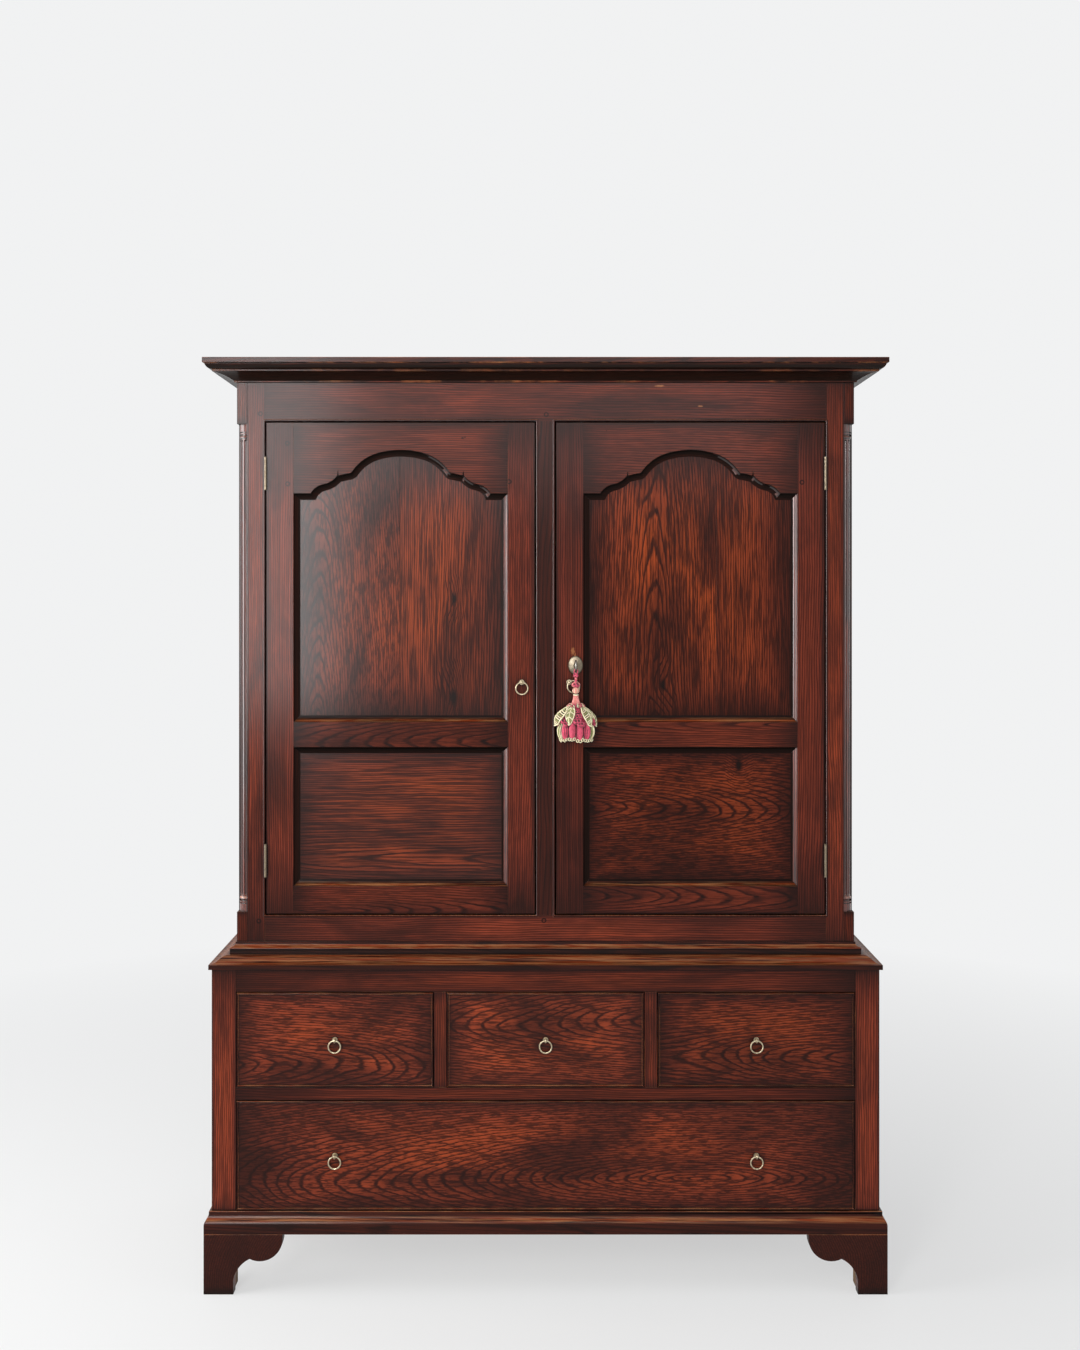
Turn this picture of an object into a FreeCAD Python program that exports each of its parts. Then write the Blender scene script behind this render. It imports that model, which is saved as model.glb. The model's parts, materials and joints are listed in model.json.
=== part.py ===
"""Oak linen press: a two-door cupboard standing on a chest of four drawers.

Millimetres. +X is to the right, +Y to the back and +Z up. The origin lies under the middle of
the overall box, on the floor.
"""
import FreeCAD, Part
import math
import os

import Sketcher

SIZES = {
    # the two cases
    "press_height": 1957,
    "base_width": 1400,
    "base_depth": 530,
    "base_height": 700,
    "case_setback": 44,
    # boards
    "frame_thick": 26,
    "back_thick": 12,
    "panel_thick": 7,
    "groove_depth": 8,
    "board_thick": 18,
    "fit_gap": 0.3,
    # front of the upper case
    "corner_block": 22,
    "front_stile": 37.6,
    "top_rail": 127,
    "bottom_rail": 80,
    "muntin_width": 39.5,
    "muntin_depth": 40,
    "bead_width": 4.2,
    "bead_proud": 0.8,
    # cornice
    "cornice_height": 45,
    "cornice_projection": 61,
    "cornice_top_fillet": 11,
    "cornice_step": 4,
    "ovolo_radius": 13,
    "ovolo_rise": 12,
    "ovolo_reach": 13,
    "cove_radius": 90,
    "cove_rise": 15,
    "cove_reach": 35,
    # moulding round the foot of the upper case
    "waist_height": 24,
    "waist_projection": 12.5,
    "waist_fascia": 9,
    "waist_bead": 5,
    "waist_bead_curve": 3.1,
    "waist_cavetto_radius": 11,
    # moulded edge of the top of the base
    "ledge_height": 24.5,
    "ledge_projection": 6,
    "ledge_fillet": 10,
    "ledge_reach": 37,
    "ledge_curve": 24,
    "ledge_width": 62,
    # columns in the front corners
    "column_radius": 20,
    "shaft_radius": 18.2,
    "neck_radius": 16.5,
    "flute_radius": 3.2,
    "flutes": 3,
    "capital_height": 21,
    "column_ring": 10,
    "column_base": 21,
    "column_fillet": 2.5,
    "bottom_block_height": 63,
    "top_block_height": 88,
    # sides and back
    "side_stile": 78,
    "side_top_rail": 92,
    "side_mid_rail": 84,
    "side_bottom_rail": 92,
    "side_recess": 8,
    "back_boards": 7,
    "back_gap": 1,
    # inside the cupboard
    "shelf_count": 3,
    "shelf_thick": 18,
    "shelf_setback": 6,
    "bearer_width": 20,
    "bearer_height": 24,
    # doors
    "door_thick": 23,
    "door_gap": 3.2,
    "door_stile": 57,
    "moulding_width": 14,
    "panel_recess": 8,
    "moulding_quirk": 1,
    "lower_rail": 58,
    "lower_panel_height": 268,
    "mid_rail": 53,
    "arched_rail": 150,
    # head of the upper door panel
    "arch_rise": 92.5,
    "crown_radius": 165,
    "crown_half": 45,
    "haunch_radius": 85,
    "haunch_half": 92,
    "cup_radius": 22,
    "cusp_half": 128,
    "cusp_rise": 38.5,
    "wave_half": 160,
    "wave_rise": 20,
    "wave_radius": 60,
    "shoulder_half": 181,
    "shoulder_radius": 27.7,
    "nick_lean": 5.4,
    "nick_rise": 9.5,
    "nick_width": 7,
    "nick_deep": 3.5,
    # butt hinges
    "hinge_length": 70,
    "hinge_inset": 73,
    "lower_hinge_inset": 78,
    "knuckle_radius": 2.75,
    "hinge_pin_radius": 1.2,
    "hinge_pin_fit": 0.1,
    "hinge_proud": 3.2,
    "leaf_thick": 1.2,
    "leaf_width": 20,
    "knuckle_gap": 0.4,
    # ring pulls
    "ring_radius": 12.7,
    "ring_wire": 1.5,
    "eye_wire": 1.5,
    "eye_radius": 3.6,
    "eye_proud": 9,
    "rosette_radius": 5.5,
    "rosette_thick": 2,
    "staple_wire": 1.6,
    "pull_from_edge": 27.3,
    "pull_height": 1275,
    "right_eye_turn": 45,
    # lock of the right door
    "lock_from_edge": 41,
    "lock_height": 1311,
    "plate_half_width": 15.5,
    "plate_half_height": 19.5,
    "plate_thick": 1.5,
    "keyhole_radius": 3.4,
    "lock_width": 56,
    "lock_tall": 78,
    "lock_deep": 15,
    "lock_wall": 1.6,
    "bolt_tall": 22,
    "bolt_thick": 5,
    "bolt_long": 44,
    "bolt_throw": 9,
    "bolt_clearance": 0.5,
    "key_radius": 2.3,
    "key_reach": 17.5,
    "bow_radius": 10.5,
    "bow_wire": 2,
    "bit_long": 9,
    "bit_thick": 2.4,
    # tassel on the key
    "tassel_cord_radius": 1.1,
    "tassel_cord_drop": 13,
    "knot_drop": 9,
    "knot_radius": 6,
    "second_knot_drop": 24.5,
    "second_knot_radius": 4.6,
    "ball_drop": 38.5,
    "ball_radius": 6,
    "tassel_neck_radius": 3,
    "cone_drop": 46.5,
    "cone_top_radius": 7.4,
    "cone_foot_drop": 67.5,
    "cone_foot_radius": 10.6,
    "shoulder_drop": 77,
    "shoulder_half_width": 31,
    "shoulder_half_depth": 18,
    "skirt_drop": 94,
    "skirt_half_width": 42,
    "skirt_half_depth": 24,
    "hem_drop": 150,
    "hem_half_width": 39,
    "hem_half_depth": 22,
    # front of the base
    "base_stile": 51,
    "base_top_rail": 47.5,
    "short_drawer_height": 200,
    "base_mid_rail": 27,
    "divider_width": 27,
    # drawers
    "drawer_gap": 1.6,
    "drawer_front": 20,
    "drawer_side": 10,
    "drawer_bottom": 8,
    "drawer_bottom_lift": 8,
    "drawer_clearance": 1.5,
    "drawer_back_space": 24,
    "cock_bead": 3,
    "cock_proud": 2,
    "runner_lap": 22,
    "guide_height": 16,
    # plinth and feet
    "foot_height": 125,
    "plinth_height": 45,
    "plinth_projection": 14,
    "plinth_fascia": 18,
    "plinth_curve": 16,
    "foot_length": 165,
    "foot_thick": 24,
    "foot_toe": 62,
    "foot_tip": 30,
    "foot_shoulder": 96,
    "foot_hollow": 74,
    "foot_curve": 60,
    "foot_hollow_curve": 48,
    "foot_lip": 12,
    "foot_block": 36,
    "foot_block_lift": 1,
}

doc = FreeCAD.newDocument("linen_press")
sheet = doc.addObject("Spreadsheet::Sheet", "Sizes")
for row, (alias, number) in enumerate(SIZES.items(), start=1):
    sheet.set(f"A{row}", str(number))
    sheet.setAlias(f"A{row}", alias)
doc.recompute()


class Measure:
    """A length that knows its value and the sheet expression that gives it."""

    def __init__(self, value, text):
        self.value = value
        self.text = text

    def __add__(self, other):
        other = measure(other)
        return Measure(self.value + other.value, f"({self.text} + {other.text})")

    def __sub__(self, other):
        other = measure(other)
        return Measure(self.value - other.value, f"({self.text} - {other.text})")

    def __mul__(self, other):
        other = measure(other)
        return Measure(self.value * other.value, f"({self.text} * {other.text})")

    def __truediv__(self, other):
        other = measure(other)
        return Measure(self.value / other.value, f"({self.text} / {other.text})")

    def __radd__(self, other):
        return measure(other) + self

    def __rsub__(self, other):
        return measure(other) - self

    def __rmul__(self, other):
        return measure(other) * self

    def __neg__(self):
        return measure(0) - self


def measure(item):
    """A plain number, or a measure, as a measure."""
    return item if isinstance(item, Measure) else Measure(float(item), f"({item})")


def root(item):
    return Measure(math.sqrt(item.value), f"sqrt({item.text})")


class Sheet:
    """Each cell of the sheet by its alias, as a measure."""

    def __getattr__(self, alias):
        return Measure(float(sheet.get(alias)), f"Sizes.{alias}")


size = Sheet()


# ---------------------------------------------------------------- drawing and joining


def tie(piece, name, amount):
    piece.setExpression(name, measure(amount).text)


def place(piece, x, y, z, axis=(0, 0, 1), turn=0):
    piece.Placement = FreeCAD.Placement(
        FreeCAD.Vector(), FreeCAD.Rotation(FreeCAD.Vector(*axis), turn)
    )
    for letter, amount in zip("xyz", (x, y, z)):
        tie(piece, f"Placement.Base.{letter}", amount)
    return piece


def board(name, x, y, z):
    """A board between its low and high planes in each direction."""
    piece = doc.addObject("Part::Box", name)
    place(piece, x[0], y[0], z[0])
    for side, (low, high) in zip(("Length", "Width", "Height"), (x, y, z)):
        tie(piece, side, measure(high) - low)
    return piece


def rod(name, radius, length, x, y, z, axis=(0, 0, 1), turn=0):
    piece = doc.addObject("Part::Cylinder", name)
    tie(piece, "Radius", radius)
    tie(piece, "Height", length)
    return place(piece, x, y, z, axis, turn)


def ball(name, radius, x, y, z):
    piece = doc.addObject("Part::Sphere", name)
    tie(piece, "Radius", radius)
    return place(piece, x, y, z)


def hoop(name, radius, wire, x, y, z, axis=(0, 0, 1), turn=0):
    piece = doc.addObject("Part::Torus", name)
    tie(piece, "Radius1", radius)
    tie(piece, "Radius2", wire)
    return place(piece, x, y, z, axis, turn)


def fuse(name, *pieces):
    piece = doc.addObject("Part::MultiFuse", name)
    piece.Shapes = list(pieces)
    return piece


def cut(name, base, *tools):
    piece = doc.addObject("Part::Cut", name)
    piece.Base = base
    piece.Tool = tools[0] if len(tools) == 1 else fuse(name + "_tool", *tools)
    return piece


def common(name, base, tool):
    piece = doc.addObject("Part::Common", name)
    piece.Base = base
    piece.Tool = tool
    return piece


def mirrored(name, source):
    """The same piece on the other side of the press."""
    piece = doc.addObject("Part::Mirroring", name)
    piece.Source = source
    piece.Normal = FreeCAD.Vector(1, 0, 0)
    return piece


def both_sides(name, source):
    return [source, mirrored(name, source)]


def draw(sketch, points):
    """A closed outline through the points, each tied to the sheet.

    A point is (across, up), or (across, up, radius) where an arc leads to the next point: a
    positive radius turns left and a negative one turns right.
    """
    vectors = [FreeCAD.Vector(measure(p[0]).value, measure(p[1]).value, 0) for p in points]
    geometry = []
    starts = []
    for index, point in enumerate(points):
        first = vectors[index]
        second = vectors[(index + 1) % len(points)]
        if len(point) == 2:
            geometry.append(Part.LineSegment(first, second))
            starts.append(1)
            continue
        radius = measure(point[2]).value
        chord = second - first
        rise = math.sqrt(radius**2 - chord.Length**2 / 4)
        normal = FreeCAD.Vector(-chord.y, chord.x, 0).normalize()
        centre = (first + second) * 0.5 + normal * math.copysign(rise, radius)
        ends = (first, second) if radius > 0 else (second, first)
        angles = [math.atan2(end.y - centre.y, end.x - centre.x) for end in ends]
        circle = Part.Circle(centre, FreeCAD.Vector(0, 0, 1), abs(radius))
        geometry.append(Part.ArcOfCircle(circle, angles[0], angles[1]))
        starts.append(1 if radius > 0 else 2)
    sketch.addGeometry(geometry, False)
    rules = []
    texts = []

    def rule(*parts, text=None):
        rules.append(Sketcher.Constraint(*parts))
        texts.append(text)

    for index, point in enumerate(points):
        following = (index + 1) % len(points)
        rule("Coincident", index, 3 - starts[index], following, starts[following])
        for axis, line, amount in (("DistanceX", -2, point[0]), ("DistanceY", -1, point[1])):
            amount = measure(amount)
            if amount.value == 0:
                rule("PointOnObject", index, starts[index], line)
            else:
                rule(axis, -1, 1, index, starts[index], amount.value, text=amount.text)
        if len(point) == 3:
            turn = measure(point[2])
            radius = turn if turn.value > 0 else -turn
            rule("Radius", index, radius.value, text=radius.text)
    sketch.addConstraint(rules)
    for index, text in enumerate(texts):
        if text:
            sketch.setExpression(f"Constraints[{index}]", text)


def drawn_on_body(name, points):
    """A body with the outline on its XY plane."""
    body = doc.addObject("PartDesign::Body", name)
    sketch = body.newObject("Sketcher::SketchObject", name + "_outline")
    plane = next(item for item in body.Origin.OriginFeatures if item.Role == "XY_Plane")
    sketch.AttachmentSupport = (plane, [""])
    sketch.MapMode = "FlatFace"
    draw(sketch, points)
    return body, sketch


def turn_body(body, across, up, x, y, z):
    """The body with its sketch's two directions along the given ones."""
    across = FreeCAD.Vector(*across)
    up = FreeCAD.Vector(*up)
    body.Placement = FreeCAD.Placement(
        FreeCAD.Vector(), FreeCAD.Rotation(across, up, across.cross(up), "XYZ")
    )
    for letter, amount in zip("xyz", (x, y, z)):
        tie(body, f"Placement.Base.{letter}", amount)
    return body


def padded(name, points, length, across, up, x, y, z):
    """An outline padded along the direction that makes a right-handed set with its own two."""
    body, sketch = drawn_on_body(name, points)
    pad = body.newObject("PartDesign::Pad", name + "_pad")
    pad.Profile = sketch
    tie(pad, "Length", length)
    return turn_body(body, across, up, x, y, z)


NODES = []


def node(label, *pieces):
    """One named sub-part, of one solid or of several separate ones."""
    if len(pieces) == 1:
        group = pieces[0]
    else:
        group = doc.addObject("Part::Compound", label)
        group.Links = list(pieces)
    group.Label = label
    NODES.append(group)
    return group


# ---------------------------------------------------------------- main planes and levels

back = (size.base_depth - size.case_setback + size.cornice_projection) / 2
base_front = back - size.base_depth
upper_front = base_front + size.case_setback
base_side = size.base_width / 2
upper_side = base_side - size.case_setback
upper_inside = upper_side - size.corner_block
base_inside = base_side - size.corner_block
back_face = back - size.back_thick

opening_side = upper_inside - size.front_stile
opening_bottom = size.base_height + size.bottom_rail
opening_top = size.press_height - size.top_rail
opening_tall = opening_top - opening_bottom
muntin_side = size.muntin_width / 2

base_case_top = size.base_height - size.ledge_height
short_top = base_case_top - size.base_top_rail
short_bottom = short_top - size.short_drawer_height
long_top = short_bottom - size.base_mid_rail
long_bottom = size.foot_height + size.plinth_height
drawers_side = base_side - size.base_stile
short_wide = (drawers_side * 2 - size.divider_width * 2) / 3

frame_back = upper_front + size.frame_thick
base_frame_back = base_front + size.frame_thick


# ---------------------------------------------------------------- mouldings round the cases


def mitred_band(label, points, reach, inset, tall, side, front, bottom):
    """A moulding carried round the front and both sides of a case, mitred at the corners.

    Its outline runs from inset behind the faces of the case to reach in front of them.
    """
    half = side + reach
    wedge = (reach + inset) * 2
    corner = (side - inset, front + inset, bottom - 1)
    run = padded(label + "_front_run", points, half * 2, (0, -1, 0), (0, 0, 1), half, front, bottom)
    end = board(label + "_front_end", (0, wedge), (0, wedge), (0, tall + 2))
    place(end, *corner, turn=-45)
    front_run = cut(label + "_front", run, *both_sides(label + "_left_end", end))
    length = back - front + reach
    side_run = padded(label + "_side_run", points, length, (1, 0, 0), (0, 0, 1), side, back, bottom)
    side_end = board(label + "_side_end", (0, wedge), (0, wedge), (0, tall + 2))
    place(side_end, *corner, turn=225)
    right_run = cut(label + "_right", side_run, side_end)
    return node(label, front_run, *both_sides(label + "_left", right_run))


def cornice():
    tall = size.cornice_height
    out = size.cornice_projection
    ovolo_out = out - size.cornice_step
    cove_out = ovolo_out - size.ovolo_reach
    ovolo_foot = tall - size.cornice_top_fillet - size.ovolo_rise
    cove_top = ovolo_foot - size.cornice_step
    cove_in = cove_out - size.cornice_step - size.cove_reach
    points = [
        (0, 0),
        (cove_in, 0),
        (cove_in, cove_top - size.cove_rise, -size.cove_radius),
        (cove_out - size.cornice_step, cove_top),
        (cove_out, cove_top),
        (cove_out, ovolo_foot, size.ovolo_radius),
        (ovolo_out, tall - size.cornice_top_fillet),
        (out, tall - size.cornice_top_fillet),
        (out, tall),
        (0, tall),
    ]
    mitred_band(
        "cornice", points, out, measure(0), tall, upper_side, upper_front, size.press_height - tall
    )


def waist_moulding():
    tall = size.waist_height
    out = size.waist_projection
    bead_top = size.waist_fascia + size.waist_bead
    fillet_foot = tall - size.waist_bead
    points = [
        (0, 0),
        (out, 0),
        (out, size.waist_fascia, size.waist_bead_curve),
        (out - size.waist_bead / 2, bead_top, -size.waist_cavetto_radius),
        (size.waist_bead / 2, fillet_foot),
        (size.waist_bead / 2, tall),
        (0, tall),
    ]
    mitred_band(
        "waist_moulding", points, out, measure(0), tall, upper_side, upper_front, size.base_height
    )


def base_top_moulding():
    """The cyma edge that leads from the chest out of the narrower cupboard's foot."""
    tall = size.ledge_height
    out = size.ledge_projection
    inset = size.ledge_width - out
    middle = (tall + size.ledge_fillet) / 2
    points = [
        (-inset, 0),
        (out, 0),
        (out, size.ledge_fillet, -size.ledge_curve),
        (out - size.ledge_reach / 2, middle, size.ledge_curve),
        (out - size.ledge_reach, tall),
        (-inset, tall),
    ]
    mitred_band("base_top_moulding", points, out, inset, tall, base_side, base_front, base_case_top)
    edge = base_side - inset
    node(
        "base_top_board",
        board(
            "base_top", (-edge, edge), (base_front + inset, back), (base_case_top, size.base_height)
        ),
    )


def plinth_moulding():
    tall = size.plinth_height
    out = size.plinth_projection
    fillet = size.waist_bead
    middle = (size.plinth_fascia + tall - fillet) / 2
    points = [
        (0, 0),
        (out, 0),
        (out, size.plinth_fascia, size.plinth_curve),
        ((out + fillet) / 2, middle, -size.plinth_curve),
        (fillet, tall - fillet),
        (fillet, tall),
        (0, tall),
    ]
    mitred_band(
        "plinth_moulding", points, out, measure(0), tall, base_side, base_front, size.foot_height
    )


# ---------------------------------------------------------------- the cupboard's case


def door_opening_beads():
    """A bead let in round each door opening."""
    outer = opening_side + size.bead_width
    inner = muntin_side - size.bead_width
    front = upper_front - size.bead_proud
    deep = (front, front + size.bead_width * 2)
    block = board(
        "bead_block",
        (inner, outer),
        deep,
        (opening_bottom - size.bead_width, opening_top + size.bead_width),
    )
    hole = board(
        "bead_hole",
        (muntin_side, opening_side),
        (front - 1, front + size.bead_width * 2 + 1),
        (opening_bottom, opening_top),
    )
    ring = cut("bead_ring", block, hole)
    return both_sides("bead_ring_left", rounded("opening_bead", ring, front, size.bead_width / 3))


def rounded(name, source, front, radius):
    """The piece with every edge that lies in its front plane rounded over."""
    doc.recompute()
    edges = [
        (index, radius.value, radius.value)
        for index, edge in enumerate(source.Shape.Edges, start=1)
        if all(abs(vertex.Y - front.value) < 1e-6 for vertex in edge.Vertexes)
    ]
    piece = doc.addObject("Part::Fillet", name)
    piece.Base = source
    piece.Edges = edges
    return piece


def upper_front_frame():
    beads = door_opening_beads()
    front = (upper_front, frame_back)
    full = (size.base_height, size.press_height)
    stile = cut("front_stile", board("stile_board", (opening_side, upper_inside), front, full), beads[0])
    node("upper_front_stiles", *both_sides("front_stile_left", stile))
    rails = []
    for name, levels in (
        ("top_rail", (opening_top, size.press_height)),
        ("bottom_rail", (size.base_height, opening_bottom)),
    ):
        rail = board(name + "_board", (-opening_side, opening_side), front, levels)
        rails.append(cut(name, rail, *beads))
    node("upper_front_rails", *rails)
    post = board(
        "muntin_board",
        (-muntin_side, muntin_side),
        (upper_front, upper_front + size.muntin_depth),
        (opening_bottom, opening_top),
    )
    node("centre_muntin", cut("muntin", post, bolt_mortise(), *beads))
    node("opening_beads", *beads)


def bolt_mortise():
    """The pocket in the muntin's right edge that takes the lock's bolt."""
    room = size.bolt_clearance * 2
    return board(
        "bolt_mortise",
        (muntin_side - size.bolt_throw - room, muntin_side + 1),
        (bolt_front - room, bolt_front + size.bolt_thick + room),
        (size.lock_height - size.bolt_tall / 2 - room, size.lock_height + size.bolt_tall / 2 + room),
    )


def upper_corners():
    """Square blocks with a turned, fluted quarter column let in between them."""
    outer = (upper_inside, upper_side)
    front = (upper_front, upper_front + size.corner_block)
    foot = size.base_height + size.bottom_block_height + size.waist_height
    head = size.press_height - size.top_block_height - size.cornice_height
    blocks = [
        board("lower_block", outer, front, (size.base_height, foot)),
        board("upper_block", outer, front, (head, size.press_height)),
    ]
    mirrored_blocks = [mirrored(block.Name + "_left", block) for block in blocks]
    node("corner_blocks", *blocks, *mirrored_blocks)

    full = size.column_radius
    neck = size.neck_radius
    shaft = size.shaft_radius
    ring = size.column_fillet
    tall = head - foot
    base = size.column_base
    shaft_foot = base + size.column_ring
    shaft_head = tall - size.capital_height - size.column_ring
    profile = [
        (0, 0),
        (full, 0),
        (full, base - ring * 2),
        (neck, base - ring * 2),
        (neck, base - ring),
        (full, base - ring),
        (full, base),
        (neck, base),
        (neck, base + ring),
        (full, base + ring * 2),
        (full, shaft_foot - ring),
        (shaft, shaft_foot),
        (shaft, shaft_head),
        (full, shaft_head + ring),
        (full, shaft_head + size.column_ring - ring * 2),
        (neck, shaft_head + size.column_ring - ring),
        (neck, shaft_head + size.column_ring),
        (full, shaft_head + size.column_ring),
        (full, shaft_head + size.column_ring + ring),
        (neck, shaft_head + size.column_ring + ring),
        (neck, shaft_head + size.column_ring + ring * 2),
        (full, shaft_head + size.column_ring + ring * 2),
        (full, tall),
        (0, tall),
    ]
    body, sketch = drawn_on_body("turned_column", profile)
    turning = body.newObject("PartDesign::Revolution", "column_turning")
    turning.Profile = sketch
    turning.ReferenceAxis = (sketch, ["V_Axis"])
    turning.Angle = 90
    turning.Reversed = True
    turn_body(body, (1, 0, 0), (0, 0, 1), upper_inside, upper_front + size.corner_block, foot)
    low = foot + shaft_foot + ring * 2
    high = foot + shaft_head - ring * 2
    count = int(size.flutes.value)
    flutes = [flute(90 * (index + 0.5) / count, low, high) for index in range(count)]
    column = cut("fluted_column", body, *flutes)
    node("corner_columns", *both_sides("fluted_column_left", column))


def flute(angle, low, high):
    """A round-ended groove up the shaft."""
    out_right = size.shaft_radius * math.cos(math.radians(angle))
    out_front = size.shaft_radius * math.sin(math.radians(angle))
    x = upper_inside + out_right
    y = upper_front + size.corner_block - out_front
    groove = rod("flute", size.flute_radius, high - low, x, y, low)
    ends = [ball("flute_end", size.flute_radius, x, y, level) for level in (low, high)]
    return fuse("flute_groove", groove, *ends)


def framed_side(label, side, front, low, high, mid_rail=None):
    """Panelled side of a case: two stiles, rails between them and a panel in each opening."""
    outer = (side - size.corner_block, side)
    stiles = [(front, front + size.side_stile), (back - size.side_stile, back)]
    between = (front + size.side_stile, back - size.side_stile)
    rails = [(low, low + size.side_bottom_rail), (high - size.side_top_rail, high)]
    if mid_rail:
        rails.insert(1, mid_rail)
    members = [board("side_stile", outer, stile, (low, high)) for stile in stiles]
    members += [board("side_rail", outer, between, rail) for rail in rails]
    panels = []
    face = side - size.side_recess
    lap = size.groove_depth
    for below, above in zip(rails, rails[1:]):
        panels.append(
            board(
                "side_panel",
                (face - size.panel_thick, face),
                (between[0] - lap, between[1] + lap),
                (below[1] - lap, above[0] + lap),
            )
        )
    members = [cut("grooved_member", member, *panels) for member in members]
    mirrored_members = [mirrored("grooved_member_left", member) for member in members]
    mirrored_panels = [mirrored("side_panel_left", panel) for panel in panels]
    node(label + "_side_frames", *members, *mirrored_members)
    node(label + "_side_panels", *panels, *mirrored_panels)


def back_boards(label, inside, low, high):
    pitch = inside * 2 / size.back_boards
    boards = []
    for index in range(int(size.back_boards.value)):
        left = -inside + pitch * index
        boards.append(
            board("back_board", (left, left + pitch - size.back_gap), (back_face, back), (low, high))
        )
    node(label, *boards)


def upper_inside_boards():
    wide = (-upper_inside, upper_inside)
    deep = (frame_back, back_face)
    node(
        "upper_top_and_floor",
        board("top_board", wide, deep, (size.press_height - size.board_thick, size.press_height)),
        board("floor_board", wide, deep, (opening_bottom - size.board_thick, opening_bottom)),
    )
    shelf_front = upper_front + size.muntin_depth + size.shelf_setback
    shelves = []
    bearers = []
    count = int(size.shelf_count.value)
    for index in range(1, count + 1):
        level = opening_bottom + opening_tall * index / (size.shelf_count + 1)
        below = (level - size.bearer_height, level)
        shelves.append(
            board("shelf", wide, (shelf_front, back_face), (level, level + size.shelf_thick))
        )
        side = board(
            "side_bearer",
            (upper_inside - size.bearer_width, upper_inside),
            (shelf_front, back_face),
            below,
        )
        rear = board(
            "rear_bearer",
            (size.bearer_width - upper_inside, upper_inside - size.bearer_width),
            (back_face - size.bearer_width, back_face),
            below,
        )
        bearers += [*both_sides("side_bearer_left", side), rear]
    node("shelves", *shelves)
    node("shelf_bearers", *bearers)


# ---------------------------------------------------------------- doors

door_left = -opening_side + size.door_gap
door_right = -muntin_side - size.door_gap
door_bottom = opening_bottom + size.door_gap
door_top = opening_top - size.door_gap
door_back = upper_front + size.door_thick
sight = size.door_stile + size.moulding_width
panel_half = (door_right - door_left) / 2 - sight
door_middle = (door_right + door_left) / 2
lower_foot = door_bottom + size.lower_rail + size.moulding_width
lower_head = lower_foot + size.lower_panel_height
upper_foot = lower_head + size.mid_rail + size.moulding_width * 2
shoulder = door_top - size.arched_rail - size.moulding_width


def arched_outline():
    """The cusped head of the upper panel, from its right shoulder over the crown to its left."""
    crown = size.crown_radius
    haunch = size.haunch_radius
    cup = size.cup_radius
    crown_side = root(crown * crown - size.crown_half * size.crown_half)
    crown_foot = shoulder + size.arch_rise - crown + crown_side
    haunch_x = size.crown_half * (1 - haunch / crown)
    haunch_z = crown_foot - haunch * crown_side / crown
    across = size.haunch_half - haunch_x
    rise = root(haunch * haunch - across * across)
    cup_x = size.haunch_half + cup * across / haunch
    cup_foot = haunch_z + rise + cup * rise / haunch - cup
    half = [
        (panel_half, shoulder),
        (size.shoulder_half, shoulder, size.shoulder_radius),
        (size.wave_half, shoulder + size.wave_rise, -size.wave_radius),
        (size.cusp_half, shoulder + size.cusp_rise),
        (cup_x, cup_foot, -cup),
        (size.haunch_half, haunch_z + rise, haunch),
        (size.crown_half, crown_foot, crown),
    ]
    arcs = [()] + [point[2:] for point in half[:-1]]
    other = [(-point[0], point[1], *arc) for point, arc in zip(reversed(half), reversed(arcs))]
    return half + other


def outline_wire(points, out, deep):
    """The outline in the doors' plane, widened by out on every side and set back by deep."""
    values = [[measure(amount).value for amount in point] for point in points]
    corners = [FreeCAD.Vector(value[0], value[1], 0) for value in values]
    count = len(values)
    leaving = []
    arriving = []
    for index, value in enumerate(values):
        chord = corners[(index + 1) % count] - corners[index]
        bend = math.asin(chord.Length / 2 / value[2]) if len(value) == 3 else 0.0
        heading = math.atan2(chord.y, chord.x)
        leaving.append(heading - bend)
        arriving.append(heading + bend)
    moved = []
    for index, corner in enumerate(corners):
        sides = [FreeCAD.Vector(math.sin(a), -math.cos(a), 0) for a in (arriving[index - 1], leaving[index])]
        moved.append(corner + (sides[0] + sides[1]) * (out / (1 + sides[0].dot(sides[1]))))
    y = upper_front.value + deep
    edges = []
    for index, value in enumerate(values):
        first = moved[index]
        last = moved[(index + 1) % count]
        ends = [FreeCAD.Vector(door_middle.value + point.x, y, point.y) for point in (first, last)]
        if len(value) == 2:
            edges.append(Part.LineSegment(*ends).toShape())
            continue
        radius = value[2] + out
        chord = last - first
        sagitta = abs(radius) - math.sqrt(radius**2 - chord.Length**2 / 4)
        bulge = FreeCAD.Vector(chord.y, -chord.x, 0).normalize() * math.copysign(sagitta, radius)
        top = (first + last) * 0.5 + bulge
        middle = FreeCAD.Vector(door_middle.value + top.x, y, top.y)
        edges.append(Part.Arc(ends[0], middle, ends[1]).toShape())
    return Part.Wire(edges)


def thick_face(wire, deep):
    """The flat shape inside the wire, carried back into the door."""
    return Part.Face(wire).extrude(FreeCAD.Vector(0, deep, 0))


def sunk_opening(name, points):
    """What a panel opening takes out of the frame, with its ovolo moulding round the edge."""
    wide = size.moulding_width.value
    quirk = size.moulding_quirk.value
    sunk = size.panel_recess.value - quirk
    steps = 4
    curve = []
    for step in range(steps + 1):
        angle = math.pi / 2 * step / steps
        curve.append(((wide - quirk) * math.cos(angle), quirk + sunk * math.sin(angle)))
    shapes = [thick_face(outline_wire(points, wide, 0), quirk)]
    for near, far in zip(curve, curve[1:]):
        shapes.append(Part.makeLoft([outline_wire(points, *near), outline_wire(points, *far)], True, True))
    shapes.append(thick_face(outline_wire(points, 0, 0), size.door_thick.value))
    piece = doc.addObject("Part::Feature", name)
    piece.Shape = shapes[0].multiFuse(shapes[1:]).removeSplitter()
    return piece


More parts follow.
